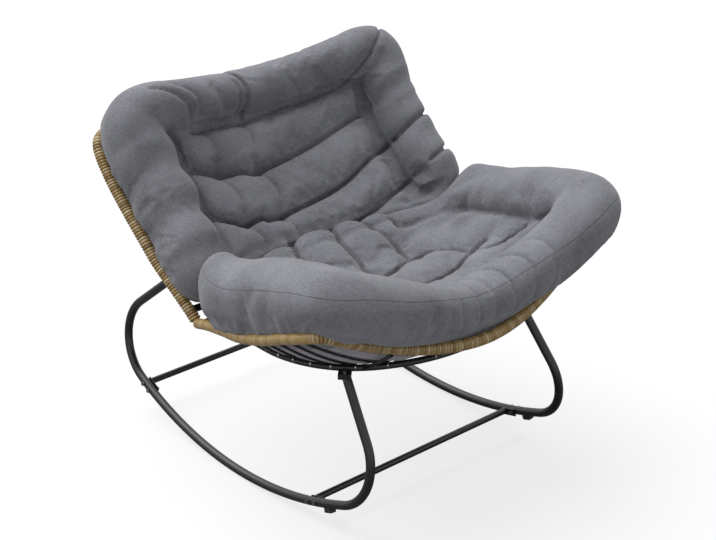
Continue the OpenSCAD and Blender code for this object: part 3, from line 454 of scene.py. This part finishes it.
def bend_along(piece, path):
    """Bends a straight piece along the places of a path."""
    curve = bpy.data.curves.new(piece.name + "_path", "CURVE")
    curve.dimensions = "3D"
    curve.twist_mode = "MINIMUM"
    line = curve.splines.new("POLY")
    line.points.add(len(path) - 1)
    for point, place in zip(line.points, path):
        point.co = (*place, 1)
    guide = bpy.data.objects.new(piece.name + "_path", curve)
    scene.collection.objects.link(guide)
    apply_modifier(piece, "CURVE", object=guide, deform_axis="POS_X")
    bpy.data.objects.remove(guide)


def wound_rim(name, rows, leaning, bulge):
    """The strand wound along a rim in whole turns, from end to end."""
    steps = 160
    path = to_world([both(rows, 2 * i / steps - 1) for i in range(steps + 1)], leaning)
    total = np.linalg.norm(np.diff(path, axis=0), axis=1).sum() / MM
    turns = int(total / STRAND_PITCH)
    pitch = total / turns
    piece = strand_turns(name, pitch, turns)
    shape_turns(piece, pitch, total, bulge)
    bend_along(piece, path)
    bpy.ops.object.shade_smooth()
    return piece


# How much the strand bulges, from 0 to 1, at a share t of the way round the rim. The seat's sides are
# wound flat and even, its front corners in thick strands and its front in finer ones.
def seat_bulge(t):
    to_end = np.minimum(t, 1 - t)
    return np.clip(smooth(0.236, 0.262, to_end) - 0.35 * smooth(0.3, 0.33, to_end), 0.04, 1)


def back_bulge(t):
    return np.full_like(t, 0.9)


seat_winding = wound_rim("seat_rim_strand", SEAT_RIM, False, seat_bulge)
back_winding = wound_rim("back_rim_strand", BACK_RIM, True, back_bulge)
hand_over(seat_winding, "rim_winding", strand, "seat_rim_winding")
hand_over(back_winding, "rim_winding", strand, "back_rim_winding")


# Weld beads on the outside of the seat hoop, where the ribs cross it. Their metal is bright, with the
# fine ripple of a weld, and paints the small glints seen there.
def weld_glint_metal():
    finish, tree, shader, place, _ = new_finish("weld_glint_metal", Metallic=1.0, Roughness=0.3)
    ripple = add_node(tree, "ShaderNodeTexNoise", {"Vector": place, "Scale": 500.0, "Detail": 2.0})
    # The bright metal colour is a painted glint
    tree.links.new(colour_ramp(tree, ripple.outputs["Fac"], [(0.35, "#8c8a86"), (0.7, "#d8d6d0")]),
                   shader.inputs["Base Color"])
    return finish


def glint_weld_beads():
    """One bead, copied to both ends of every rib but the rearmost."""
    front_rib, bead_height, off_middle = -460, 428, 7.4
    pitch, rearmost = RIB_ROWS[False]
    deselect()
    bpy.ops.mesh.primitive_uv_sphere_add(segments=12, ring_count=8, radius=3.4 * MM)
    bead = bpy.context.object
    bead.scale = (0.7, 1.0, 1.5)
    settle_at_origin(bead)
    beads = []
    for y in range(front_rib, rearmost, pitch):
        depth = y + SEAT_HOOP_END
        slope = float(hoop_x(depth + 1) - hoop_x(depth - 1)) / 2
        off = off_middle / math.hypot(1, slope)
        for side in (-1, 1):
            place = (side * (float(hoop_x(depth)) + off), y - off * slope, bead_height)
            copy = bead.copy()
            copy.data = bead.data.copy()
            copy.data.transform(Matrix.Translation(Vector(place) * MM))
            scene.collection.objects.link(copy)
            beads.append(copy)
    deselect()
    for copy in beads:
        copy.select_set(True)
    bpy.context.view_layer.objects.active = beads[0]
    bpy.ops.object.join()
    beads[0].name = "rib_weld_beads"
    bpy.data.objects.remove(bead)
    bpy.ops.object.shade_smooth()
    return beads[0]


# Cushions. The sewn cover is built as a closed skin from the same rows as the frame's solids, laid out
# evenly, pressed in along its seams, and then filled by a cloth simulation held at its seams and
# underside.
def rim_part(rows, first, last, by):
    """Part of a rim as rows, sorted by one of their numbers."""
    part = np.array([along(rows, t) for t in np.linspace(first, last, 200)])
    return part[np.argsort(part[:, by])]


SEAT_SIDE, SEAT_END = rim_part(SEAT_RIM, 5, 12, 1), rim_part(SEAT_RIM, 0, 4, 0)
BACK_SIDE, BACK_END = rim_part(BACK_RIM, 4, 11, 1), rim_part(BACK_RIM, 0, 3, 0)


def hoop_x(depth):
    """Half width of a hoop at a distance from its curved end."""
    end = np.sqrt(np.maximum(0, HOOP_END_R ** 2 - (HOOP_END_R - depth) ** 2))
    bend = HOOP_SIDE_X + np.sqrt(np.maximum(0, HOOP_SIDE_R ** 2 - (HOOP_SIDE_Y - depth) ** 2))
    end_depth = HOOP_END_R * (1 - math.cos(HOOP_END_HALF))
    return np.where(depth >= HOOP_SIDE_Y, HOOP_HALF, np.where(depth < end_depth, end, bend))


# Distance between the ribs and the place of one of them, for the seat and for the leaning back
RIB_ROWS = {False: (40, -60), True: (42, 104)}
# How far the filling sags between the ribs, how they bow out to the rim, and their bend at the hoop
SAG, RIB_BOW, RIB_BEND = 6.5, 1.3, 4


def basket_at(x, y, leaning):
    """Lowest height for the cushion at places over the basket, and how far out to the rim they lie."""
    side, end = (BACK_SIDE, BACK_END) if leaning else (SEAT_SIDE, SEAT_END)
    level, hoop_end = (BACK_RIB_LEVEL, BACK_HOOP_END) if leaning else (SEAT_RIB_LEVEL, SEAT_HOOP_END)
    past_end = (y if leaning else -y) - hoop_end
    x, inner = np.abs(x), hoop_x(y - BACK_HOOP_START if leaning else y + SEAT_HOOP_END)
    rim_x, rim_height = np.interp(y, side[:, 1], side[:, 0]), np.interp(y, side[:, 1], side[:, 2])
    out_side = np.clip((x - inner) / (rim_x - RIM_TUCK - inner), 0, 1)
    pitch, one_rib = RIB_ROWS[leaning]
    between = np.sin(math.pi * (y - one_rib) / pitch) ** 2 * (past_end < -10)
    up_side = ((rim_height - level - RIM_TUCK) * out_side ** RIB_BOW
               + RIB_BEND * smooth(0, 0.1, out_side) * (1 - between))
    reach = np.maximum(np.abs(np.interp(x, end[:, 0], end[:, 1])) - RIM_TUCK - hoop_end, 5)
    out_end = np.clip(past_end / reach, 0, 1)
    over_rim = (RIM_TUCK + WRAP_R - RIB_TOP) * smooth(0, 14, past_end - reach)
    up_end = (np.interp(x, end[:, 0], end[:, 2]) - level - RIM_TUCK) * out_end ** RIB_BOW + over_rim
    up = np.maximum(up_side, np.where(x < end[-1, 0], up_end, 0))
    return level + RIB_TOP + up - SAG * between, np.maximum(out_side, out_end)


def over_ribs(x, y, leaning):
    """Only the height, from basket_at."""
    return basket_at(x, y, leaning)[0]


def back_swell(v):
    """The back's rolls are pinched where its three cross seams run out over them."""
    fade = float(smooth(60, 110, v) * (1 - smooth(420, 450, v)))
    return 3.0 * math.cos(math.tau * (v - 292) / 116) * fade


def seat_swell(y):
    """The arms are pinched a little at each row of the seat's puffs."""
    fade = float(smooth(-420, -370, y) * (1 - smooth(-80, -40, y)))
    return 0.6 * math.cos(math.tau * (y + 132) / 84) * fade


# Cells of a cushion's field across and along, and the layers of its round from top to bottom
ACROSS, ALONG, LAYERS = 72, 60, 32


def roll_at(rows, corners, i, j, sense, swell):
    """The roll beside an edge point of the cushion's field, and its outward direction there."""
    half, last = ACROSS / 2, len(rows) - 1
    if j == ALONG:
        t = corners[0] * abs(i - half) / half
    elif j == 0:
        t = last + (corners[1] - last) * abs(i - half) / half
    else:
        t = corners[1] + (corners[0] - corners[1]) * j / ALONG
    row = along(rows, t, True)
    run = (along(rows, min(t + 0.1, last), True) - along(rows, max(t - 0.1, 0), True))[:2]
    run = run / np.linalg.norm(run)
    row[3:6] -= np.minimum(CUT_SMALL, CUT_SHARE * row[3:6])
    # Only the rolls along the sides swell and pinch, not those across the ends
    if abs(run[1]) > 0.6:
        row[3:5] += swell(row[1])
    # Where the run crosses the middle, outward is straight along the middle line
    if t < 0.05:
        out = [0, -1]
    else:
        out = [0, 1] if t > last - 0.05 else [run[1], -run[0]]
    out = np.array(out, float) * sense
    return (mirrored(row), np.array([-out[0], out[1]])) if i < half else (row, out)


def roll_point(row, out, angle, fuller):
    """A place on a roll's round, from its inner side over its top to its outer side and below."""
    c, s = math.cos(angle), math.sin(angle)
    outer_low = angle < 0
    reach = c * (1 - (row[6] - fuller * min(1, 2.5 * row[6])) * (1 - c)) if outer_low else c
    lift = row[5] * s if outer_low else row[4] * s
    return [row[0] + out[0] * row[3] * reach, row[1] + out[1] * row[3] * reach, row[2] + lift]


# Angle at which a roll's underside hands over to the cushion's bottom, and the angles between which it
# comes to rest on the basket
LOWEST = math.radians(-95)
RESTING, HANGING = -1.4, -0.6


def cushion_skin(name, rows, corners, sense, leaning, fuller, swell, top, bottom):
    """A closed skin: the field on top, the round of the rolls in layers, and the bottom."""
    edge = ([(0, j) for j in range(ALONG + 1)] + [(i, ALONG) for i in range(1, ACROSS + 1)]
            + [(ACROSS, j) for j in range(ALONG - 1, -1, -1)] + [(i, 0) for i in range(ACROSS - 1, 0, -1)])
    field = [(2 * i / ACROSS - 1, j / ALONG) for j in range(ALONG + 1) for i in range(ACROSS + 1)]
    n, w, first = len(edge), ACROSS + 1, len(field)
    below = first + LAYERS * n
    rolls = [roll_at(rows, corners, i, j, sense, swell) for i, j in edge]
    points = [top(s, t) for s, t in field]
    # Each roll's round starts at the field's height, but never quite at the roll's top or bottom
    sunk = [(row[2] - points[j * w + i][2]) / row[4] for (row, out), (i, j) in zip(rolls, edge)]
    starts = [math.pi + math.asin(min(max(depth, -0.92), 0.8)) for depth in sunk]
    shares = np.linspace(0, 1, LAYERS)
    points += [roll_point(row, out, start + (LOWEST - start) * share, fuller)
               for share in shares for (row, out), start in zip(rolls, starts)]
    points += [bottom(s, t) for s, t in field]
    points = np.array(points, float)
    rounds = slice(first, below)
    basket = over_ribs(points[rounds, 0], points[rounds, 1], leaning)
    turn = np.outer(1 - shares, starts) + np.outer(shares, np.full(n, LOWEST))
    rests = (1 - smooth(RESTING, HANGING, turn)) * np.array([j > 0 for i, j in edge])
    clear = np.maximum(points[rounds, 2], basket)
    points[rounds, 2] = clear + (basket - clear) * rests.ravel()

    def index(layer, k):
        i, j = edge[k % n]
        if layer < 0 or layer == LAYERS:
            return (0 if layer < 0 else below) + j * w + i
        return first + layer * n + k % n

    faces = []
    for j in range(ALONG):
        for i in range(ACROSS):
            a = j * w + i
            faces.append((a, a + w, a + w + 1, a + 1))
            faces.append((below + a, below + a + 1, below + a + w + 1, below + a + w))
    for layer in range(-1, LAYERS):
        for k in range(n):
            faces.append((index(layer, k), index(layer, k + 1),
                          index(layer + 1, k + 1), index(layer + 1, k)))
    mesh = bpy.data.meshes.new(name)
    mesh.from_pydata([tuple(p) for p in to_world(points, leaning)], [], faces)
    piece = bpy.data.objects.new(name, mesh)
    scene.collection.objects.link(piece)
    make_active(piece)
    bpy.ops.object.mode_set(mode="EDIT")
    bpy.ops.mesh.select_all(action="SELECT")
    bpy.ops.mesh.normals_make_consistent(inside=False)
    bpy.ops.object.mode_set(mode="OBJECT")
    return piece


def to_line(points, line):
    """Distance of each point from a line of corners, and how far along it the nearest place is."""
    best = np.full(len(points), 1e9)
    where = np.zeros(len(points))
    run = 0.0
    for a, b in zip(line[:-1], line[1:]):
        step = b - a
        length = np.linalg.norm(step)
        t = np.clip((points - a) @ step / length ** 2, 0, 1)
        d = np.linalg.norm(points - a - t[:, None] * step, axis=1)
        nearer = d < best
        best[nearer] = d[nearer]
        where[nearer] = run + t[nearer] * length
        run += length
    return best, where


def rounded(line, parts=6):
    """More corners on a line, on a smooth curve through the ones given."""
    p = np.array(line, float)
    out = []
    for i in range(len(p) - 1):
        before = p[i - 1] if i else 2 * p[0] - p[1]
        after = p[i + 2] if i + 2 < len(p) else 2 * p[-1] - p[-2]
        out += [blend4(before, p[i], p[i + 1], after, k / parts) for k in range(parts)]
    return out + [p[-1]]


def domed(u):
    """Height of a filled pillow, from 0 at its seam to 1 at a distance of 1."""
    return np.sqrt(1 - (1 - np.clip(u, 0, 1)) ** 2)


# Profiles across a seam, from 1 in its middle to 0 at its reach
def crisp(d, reach):
    return 1 - domed(d / reach)


def rounded_dip(d, reach):
    return (1 - np.clip(d / reach, 0, 1) ** 2) ** 2


def thread_wide(d, _):
    """Only as wide as the thread draws the cloth in, whatever the seam's reach."""
    return np.clip(1 - d / 9, 0, 1) ** 1.5


def pressed(points, seams, profile):
    """How deep each point is pressed by its seams: (line, depth, reach, length of each end's fade)."""
    if not seams:
        return np.zeros(len(points))
    most = max(seam[1] for seam in seams)
    left = np.ones(len(points))
    for line, depth, reach, fade in seams:
        line = np.array(rounded(line))
        near = ((points > line.min(0) - reach) & (points < line.max(0) + reach)).all(1)
        d, where = to_line(points[near], line)
        total = sum(np.linalg.norm(b - a) for a, b in zip(line[:-1], line[1:]))
        ends = smooth(0, fade, np.minimum(where, total - where)) if fade else 1.0
        left[near] *= 1 - profile(d, reach) * ends * depth / most
    return most * (1 - left)


# Frames and pressure of the filling, and the furthest that it moves a point, in metres
FRAMES, PRESSURE, FURTHEST = 12, 3.5, 0.010


def fill_with_air(piece, held):
    """Swells the cover by simulation while the held points stay, and keeps each move short."""
    before = vertices(piece)
    group = piece.vertex_groups.new(name="sewn_down")
    for level in (0.25, 0.5, 0.75, 1.0):
        chosen = np.nonzero(np.abs(held - level) <= 0.125)[0]
        if len(chosen):
            group.add(chosen.tolist(), level, "REPLACE")
    # Stiff against stretch, soft to bend, and grown by 4 percent, so that it wrinkles a little
    cloth = piece.modifiers.new("cloth", "CLOTH")
    cover = cloth.settings
    cover.quality = 4
    cover.mass = 0.25
    cover.tension_stiffness = cover.compression_stiffness = 12
    cover.shear_stiffness = 6
    cover.bending_stiffness = 0.6
    cover.use_pressure = True
    cover.uniform_pressure_force = PRESSURE
    cover.vertex_group_mass = group.name
    cover.pin_stiffness = 1.0
    cover.shrink_min = -0.04
    cover.effector_weights.gravity = 0
    cloth.collision_settings.use_collision = False
    cloth.collision_settings.use_self_collision = False
    cloth.point_cache.frame_start, cloth.point_cache.frame_end = 1, FRAMES
    scene.frame_start, scene.frame_end = 1, FRAMES
    for step in range(1, FRAMES + 1):
        scene.frame_set(step)
    filled = piece.evaluated_get(bpy.context.evaluated_depsgraph_get())
    after = np.empty(len(before) * 3)
    filled.data.vertices.foreach_get("co", after)
    move = after.reshape(-1, 3) - before
    size = np.linalg.norm(move, axis=1)
    move *= (FURTHEST * np.tanh(size / FURTHEST) / np.maximum(size, 1e-9))[:, None]
    piece.modifiers.remove(cloth)
    piece.vertex_groups.clear()
    scene.frame_set(1)
    set_vertices(piece, before + move)


# The fields and undersides of the cushions: s runs across from -1 to 1, and t from the rear of the
# seat to its front, or from the foot of the back to its top
def seat_top(s, t):
    x, y = s * SEAT_FIELD, SEAT_REAR + (SEAT_FRONT - SEAT_REAR) * t
    # The dish under the puffs, and its rise on to the back cushion
    side, mid = 512 + 100 * t ** 0.9, 482 + 34 * t ** 3
    onto_back = 1 - float(smooth(150, 230, abs(x)))
    edge = min(SEAT_FIELD - abs(x), SEAT_REAR - y + 60 * onto_back, y - SEAT_FRONT)
    rise = 36 * onto_back * (1 - float(smooth(0, 90, SEAT_REAR - y)))
    return [x, y, mid + (side - mid) * abs(s) ** 2.4 + SEAT_PUFF * float(domed(edge / PUFF_REACH)) + rise]


def seat_bottom(s, t):
    rear, front = -56, -458
    x, y = 1.04 * s * SEAT_FIELD, rear + (front - rear) * t
    return [x, y, float(over_ribs(x, y, False)) + 8 * (1 - float(smooth(0, 0.12, t)))]


# The cross seams of the back, from the lowest: height in the middle, and how far they rise at the sides
BACK_SEAM_ROWS = [(120, -18), (182, 46), (306, 42), (436, 10)]


def back_top(s, t):
    row = min(int(t * 3), 2)
    low, high = (a + b * s * s for a, b in BACK_SEAM_ROWS[row:row + 2])
    v = low + (high - low) * (t * 3 - row)
    # The dish under the puffs
    mid, side = 16 + 6 * t + 44 * t ** 4, 34 + 44 * t ** 4
    edge = min(BACK_FIELD * (1 - abs(s)), v - 100, BACK_SEAM_ROWS[3][0] + 10 * s * s - v)
    return [s * BACK_FIELD, v, mid + (side - mid) * s * s + BACK_PUFF * float(domed(edge / PUFF_REACH))]


def back_bottom(s, t):
    low, high = 120, 484
    x, v = 1.12 * s * BACK_FIELD, low + (high - low) * t - 24 * s ** 4 * (1 - t)
    return [x, v, float(over_ribs(x, v, True))]


def to_side(side, line):
    return [(side * x, y) for x, y in line]


# Seams of the seat, seen from above: X and Y, then depth, reach and how far the ends fade
def seat_seams():
    seams = [([(14, 60), (18, 30), (6, -30), (12, -76), (0, -110), (2, -152)], 22, 56, 0),
             ([(0, -160), (6, -215), (-2, -272), (4, -330), (0, -400)], 22, 60, 0)]
    rear_column = ((106, 60), (112, 30), (126, -10), (134, -66), (124, -110), (118, -146))
    rear_row = ((0, -154), (43, -164), (84, -150), (118, -146), (150, -154), (176, -164))
    front_row = ((0, -272), (60, -284), (140, -286), (215, -256), (262, -262))
    by_the_arm = ((176, -164), (200, -206), (216, -250), (246, -306), (300, -336), (340, -350))
    for side in (-1, 1):
        seams += [(to_side(side, rear_column), 24, 56, 0), (to_side(side, rear_row), 24, 46, 0),
                  (to_side(side, front_row), 22, 46, 0), (to_side(side, by_the_arm), 20, 52, 30)]
    seams.append(([(188, 10), (190, -10), (192, -24)], 20, 40, 0))
    return seams


# Seams of the back in its own plane: X and the distance up the back
def back_seams():
    return [
        ([(-232, 440), (-150, 438), (-63, 434), (92, 437), (180, 442), (270, 451), (330, 480)],
         22, 46, 0),
        ([(-277, 350), (-194, 319), (-146, 312), (-88, 302), (66, 320), (205, 349), (289, 366)],
         26, 56, 0),
        ([(-297, 231), (-211, 186), (-150, 184), (-106, 174), (108, 197), (248, 245), (330, 266)],
         26, 56, 0),
        ([(-130, 96), (0, 92), (130, 99), (268, 136), (340, 158)], 24, 50, 20),
        ([(60, 0), (162, 2), (237, 22), (374, 63), (478, 123)], 22, 40, 30),
    ]


# Pleats, and the ends of the seams where they run out over the rolls
def back_pleats():
    return [
        ([(-70, 436), (-60, 476), (-66, 530), (-84, 570)], 16, 17, 14),
        ([(-90, 438), (-84, 480), (-94, 524)], 7, 14, 16),
        ([(-232, 446), (-254, 486), (-300, 524), (-356, 546)], 12, 28, 24),
        ([(-212, 446), (-216, 486), (-244, 524), (-290, 556)], 7, 24, 26),
        ([(320, 474), (345, 492), (399, 537), (431, 575)], 7, 13, 12),
        ([(330, 266), (400, 288), (473, 305)], 13, 34, 16),
        ([(340, 158), (429, 185), (470, 198)], 13, 34, 16),
    ]


# Soft dips: where the rows of puffs part, and where a seam only draws a roll in
def back_dips():
    dips = [
        ([(-120, 440), (-150, 486), (-170, 520)], 5, 24, 16),
        ([(289, 366), (350, 382), (412, 393), (464, 404)], 10, 34, 24),
        ([(-270, 350), (-340, 362), (-400, 370), (-460, 372)], 7, 50, 60),
        ([(-290, 231), (-350, 244), (-410, 252), (-465, 254)], 7, 50, 60),
        ([(-290, 121), (-350, 130), (-410, 134), (-460, 134)], 7, 44, 60),
        ([(304, 448), (294, 400), (288, 366)], 9, 46, 20),
        ([(268, 350), (268, 290), (276, 246)], 9, 46, 20),
        ([(284, 240), (282, 180), (294, 140)], 9, 46, 20),
    ]
    for spot in ((-203, 326), (-88, 306), (-190, 188), (-83, 174)):
        dips.append(([(spot[0], spot[1] + 22), spot], 8, 26, 0))
    return dips


# Where the channels on the right-hand side of a sitter are parted into puffs
def back_partings():
    return [(line, 16, 54, 0) for line in (
        [(-196, 436), (-190, 380), (-204, 322)], [(-80, 434), (-76, 370), (-88, 302)],
        [(-204, 322), (-184, 250), (-191, 183)], [(-88, 302), (-68, 240), (-83, 169)],
        [(-191, 183), (-178, 130), (-186, 90)], [(-83, 169), (-68, 120), (-76, 80)])]


def seat_dips():
    return [(to_side(side, line), depth, 40, 50) for side in (-1, 1) for line, depth in (
        (((352, -90), (310, -92), (270, -98), (214, -116)), 12),
        (((348, -172), (310, -178), (268, -170), (220, -172)), 9),
        (((352, -262), (318, -276), (280, -274), (250, -270)), 8))]


def seat_pleats():
    return [
        ([(-10, -414), (-30, -470), (-34, -590)], 6, 18, 16),
        ([(22, -414), (16, -476), (18, -590)], 6, 15, 16),
        ([(60, -420), (66, -486), (78, -590)], 5, 15, 16),
        ([(-60, -414), (-84, -466), (-96, -590)], 4, 18, 16),
        ([(112, -430), (128, -492), (140, -600)], 5, 16, 16),
        ([(164, -452), (184, -510), (198, -610)], 4, 14, 20),
    ]


# Height of the sewn line that runs round a roll, as an angle on each of its rows. The back's runs level
# with the roll's middle.
SEAT_LINE = (45, 43, 33, 30, 28, 22, 18, 22, 30, 34, 34, 34, 34, 34)
BACK_LINE = (0,) * len(BACK_ROLL)


def on_roll(points, rows, sense):
    """Angle of each point round the roll's middle, the row it lies beside and the roll's size there."""
    last = len(rows) - 1
    ts = np.linspace(0, last, 260)
    mids = np.array([along(rows, t, True) for t in ts])
    flat = points.copy()
    flat[:, 0] = np.abs(flat[:, 0])
    near = np.empty(len(points), int)
    # In parts, to keep memory small
    for start in range(0, len(points), 20000):
        part = slice(start, start + 20000)
        near[part] = ((flat[part, None, :2] - mids[None, :, :2]) ** 2).sum(2).argmin(1)
    row = mids[near]
    run = np.gradient(mids[:, :2], axis=0)
    run /= np.linalg.norm(run, axis=1)[:, None]
    out = np.stack([run[:, 1], -run[:, 0]], 1)[near] * sense
    across = ((flat[:, :2] - row[:, :2]) * out).sum(1) / row[:, 3]
    up = (flat[:, 2] - row[:, 2]) / np.where(flat[:, 2] > row[:, 2], row[:, 4], row[:, 5])
    return np.degrees(np.arctan2(up, across)), ts[near], row


def mark_line(piece, leaning, rows, sense, line_rows):
    """Stores each point's distance from the sewn line round the rolls, in millimetres."""
    angle, t, row = on_roll(to_plane(vertices(piece), leaning), rows, sense)
    wanted = np.interp(t, range(len(line_rows)), line_rows)
    radius = (row[:, 3] + row[:, 4]) / 2
    store(piece, "seam_line", np.clip((angle - wanted) * math.pi / 180 * radius, -30, 30))


def line_underside(piece, leaning, up):
    """Lighter lining under the cushion, where it faces down close over the basket, inside the rim."""
    faces = piece.data.polygons
    middle, facing = np.empty(len(faces) * 3), np.empty(len(faces) * 3)
    faces.foreach_get("center", middle)
    faces.foreach_get("normal", facing)
    middle = to_plane(middle.reshape(-1, 3), leaning)
    height, out_to_rim = basket_at(middle[:, 0], middle[:, 1], leaning)
    below = (facing.reshape(-1, 3) @ up < -0.3) & (middle[:, 2] - height < 22) & (out_to_rim < 0.8)
    piece.data.materials.clear()
    for cloth in (linen, lining):
        piece.data.materials.append(cloth)
    faces.foreach_set("material_index", below.astype(np.int32))


def sew(piece, leaning, seams, pleats, partings, dips, rows, sense, line_rows):
    """Lays the cover out evenly, presses its seams in, fills it and marks the sewn lines."""
    apply_modifier(piece, "REMESH", mode="VOXEL", voxel_size=0.006)
    apply_modifier(piece, "SMOOTH", factor=0.5, iterations=3)
    rise = BACK_RISE if leaning else 0
    up = np.array([0, -math.sin(rise), math.cos(rise)])
    co, n = vertices(piece), normals(piece)
    flat = to_plane(co, leaning)
    # Seams press in the upper faces only, and pleats also run on down the outside of the rolls
    facing, outer_too = smooth(-0.1, 0.3, n @ up), smooth(-0.7, -0.2, n @ up)
    deep = pressed(flat[:, :2], seams, crisp)
    folds = pressed(flat[:, :2], partings, crisp) + pressed(flat[:, :2], dips, rounded_dip)
    gathers = pressed(flat[:, :2], pleats, crisp) * outer_too
    set_vertices(piece, co - n * (((deep + folds) * facing + gathers) * MM)[:, None])
    # Held in its seams, and where it lies within about 20 mm of the basket
    held = smooth(11, 20, deep) * facing
    under = 1 - smooth(6, 30, flat[:, 2] - over_ribs(flat[:, 0], flat[:, 1], leaning))
    fill_with_air(piece, np.maximum(held, under))
    apply_modifier(piece, "SUBSURF", levels=1, render_levels=1)
    co, n = vertices(piece), normals(piece)
    flat = to_plane(co, leaning)
    facing = smooth(0.0, 0.4, n @ up)
    crease = pressed(flat[:, :2], seams, thread_wide) * facing
    fold = pressed(flat[:, :2], pleats, thread_wide) * facing
    set_vertices(piece, co - n * ((0.3 * crease + 0.5 * fold) * MM)[:, None])
    # Depth of the seam creases, which the cloth darkens as painted shade
    store(piece, "crease", np.clip(crease / 22, 0, 1) ** 1.5)
    mark_line(piece, leaning, rows, sense, line_rows)
    line_underside(piece, leaning, up)
    make_active(piece)
    bpy.ops.object.shade_smooth()


hand_over(glint_weld_beads(), "frame_steel", weld_glint_metal())
seat_cover = cushion_skin("seat_cushion_cover", SEAT_ROLL, (4, 9), 1, False, 1.0,
                          seat_swell, seat_top, seat_bottom)
sew(seat_cover, False, seat_seams(), seat_pleats(), [], seat_dips(), SEAT_ROLL, 1, SEAT_LINE)
hand_over(seat_cover, "seat_fabric", None, "seat_cushion")
back_cover = cushion_skin("back_cushion_cover", BACK_ROLL, (4, 10), -1, True, 1.7,
                          back_swell, back_top, back_bottom)
sew(back_cover, True, back_seams(), back_pleats(), back_partings(), back_dips(), BACK_ROLL, -1, BACK_LINE)
hand_over(back_cover, "back_fabric", None, "back_cushion")


# Studio: a pale floor that carries on out of view, a soft box overhead and a plain pale surround
def make_floor():
    deselect()
    bpy.ops.mesh.primitive_plane_add(size=40, location=(0, 0, 0))
    floor = bpy.context.object
    floor.name = "studio_floor"
    finish, tree, shader, place, out = new_finish("painted_studio_floor", Roughness=0.9)
    # White to the camera, and greyer to the light that it throws back up, as black flags beside a set do
    seen = add_node(tree, "ShaderNodeLightPath").outputs["Is Camera Ray"]
    paint = add_node(tree, "ShaderNodeMix", {"Factor": seen, "A": srgb("#8c8c8e"), "B": srgb("#fefefe")},
                     data_type="RGBA")
    tree.links.new(paint.outputs["Result"], shader.inputs["Base Color"])
    # Part of its white is its own glow, as on a lit table, so that the chair's shadow stays faint
    glow = add_node(tree, "ShaderNodeEmission", {"Color": srgb("#fefefe"), "Strength": 1.0})
    share = add_node(tree, "ShaderNodeMath", {0: seen, 1: 0.75}, operation="MULTIPLY").outputs[0]
    lit = add_node(tree, "ShaderNodeMixShader", {0: share, 1: shader.outputs[0], 2: glow.outputs[0]})
    tree.links.new(lit.outputs[0], out.inputs["Surface"])
    floor.data.materials.append(finish)


def make_softbox(name, direction, spread, strength, colour):
    """A wide soft light far away, so that the floor is lit evenly."""
    data = bpy.data.lights.new(name, "SUN")
    data.angle = math.radians(spread)
    data.energy = strength
    data.color = srgb(colour)[:3]
    lamp = bpy.data.objects.new(name, data)
    lamp.rotation_mode = "QUATERNION"
    lamp.rotation_quaternion = Vector(direction).to_track_quat("Z", "Y")
    scene.collection.objects.link(lamp)


def make_surround():
    """A soft fill from all round, and plain white where the camera or a highlight sees it."""
    surround = bpy.data.worlds.new("pale_surround")
    scene.world = surround
    surround.use_nodes = True
    tree = surround.node_tree
    tree.nodes.clear()
    fill = add_node(tree, "ShaderNodeBackground", {"Color": srgb("#fbfcff"), "Strength": 0.47})
    white = add_node(tree, "ShaderNodeBackground", {"Color": (1, 1, 1, 1), "Strength": 1.0})
    rays = add_node(tree, "ShaderNodeLightPath").outputs
    seen = add_node(tree, "ShaderNodeMath", {0: rays["Is Camera Ray"], 1: rays["Is Glossy Ray"]},
                    operation="MAXIMUM").outputs[0]
    mixed = add_node(tree, "ShaderNodeMixShader", {0: seen, 1: fill.outputs[0], 2: white.outputs[0]})
    add_node(tree, "ShaderNodeOutputWorld", {"Surface": mixed.outputs[0]})


make_floor()
make_softbox("overhead_softbox", (-0.18, 0.5, 1.0), 60, 2.7, "#fdfdff")
make_surround()
scene.view_settings.view_transform = "Standard"
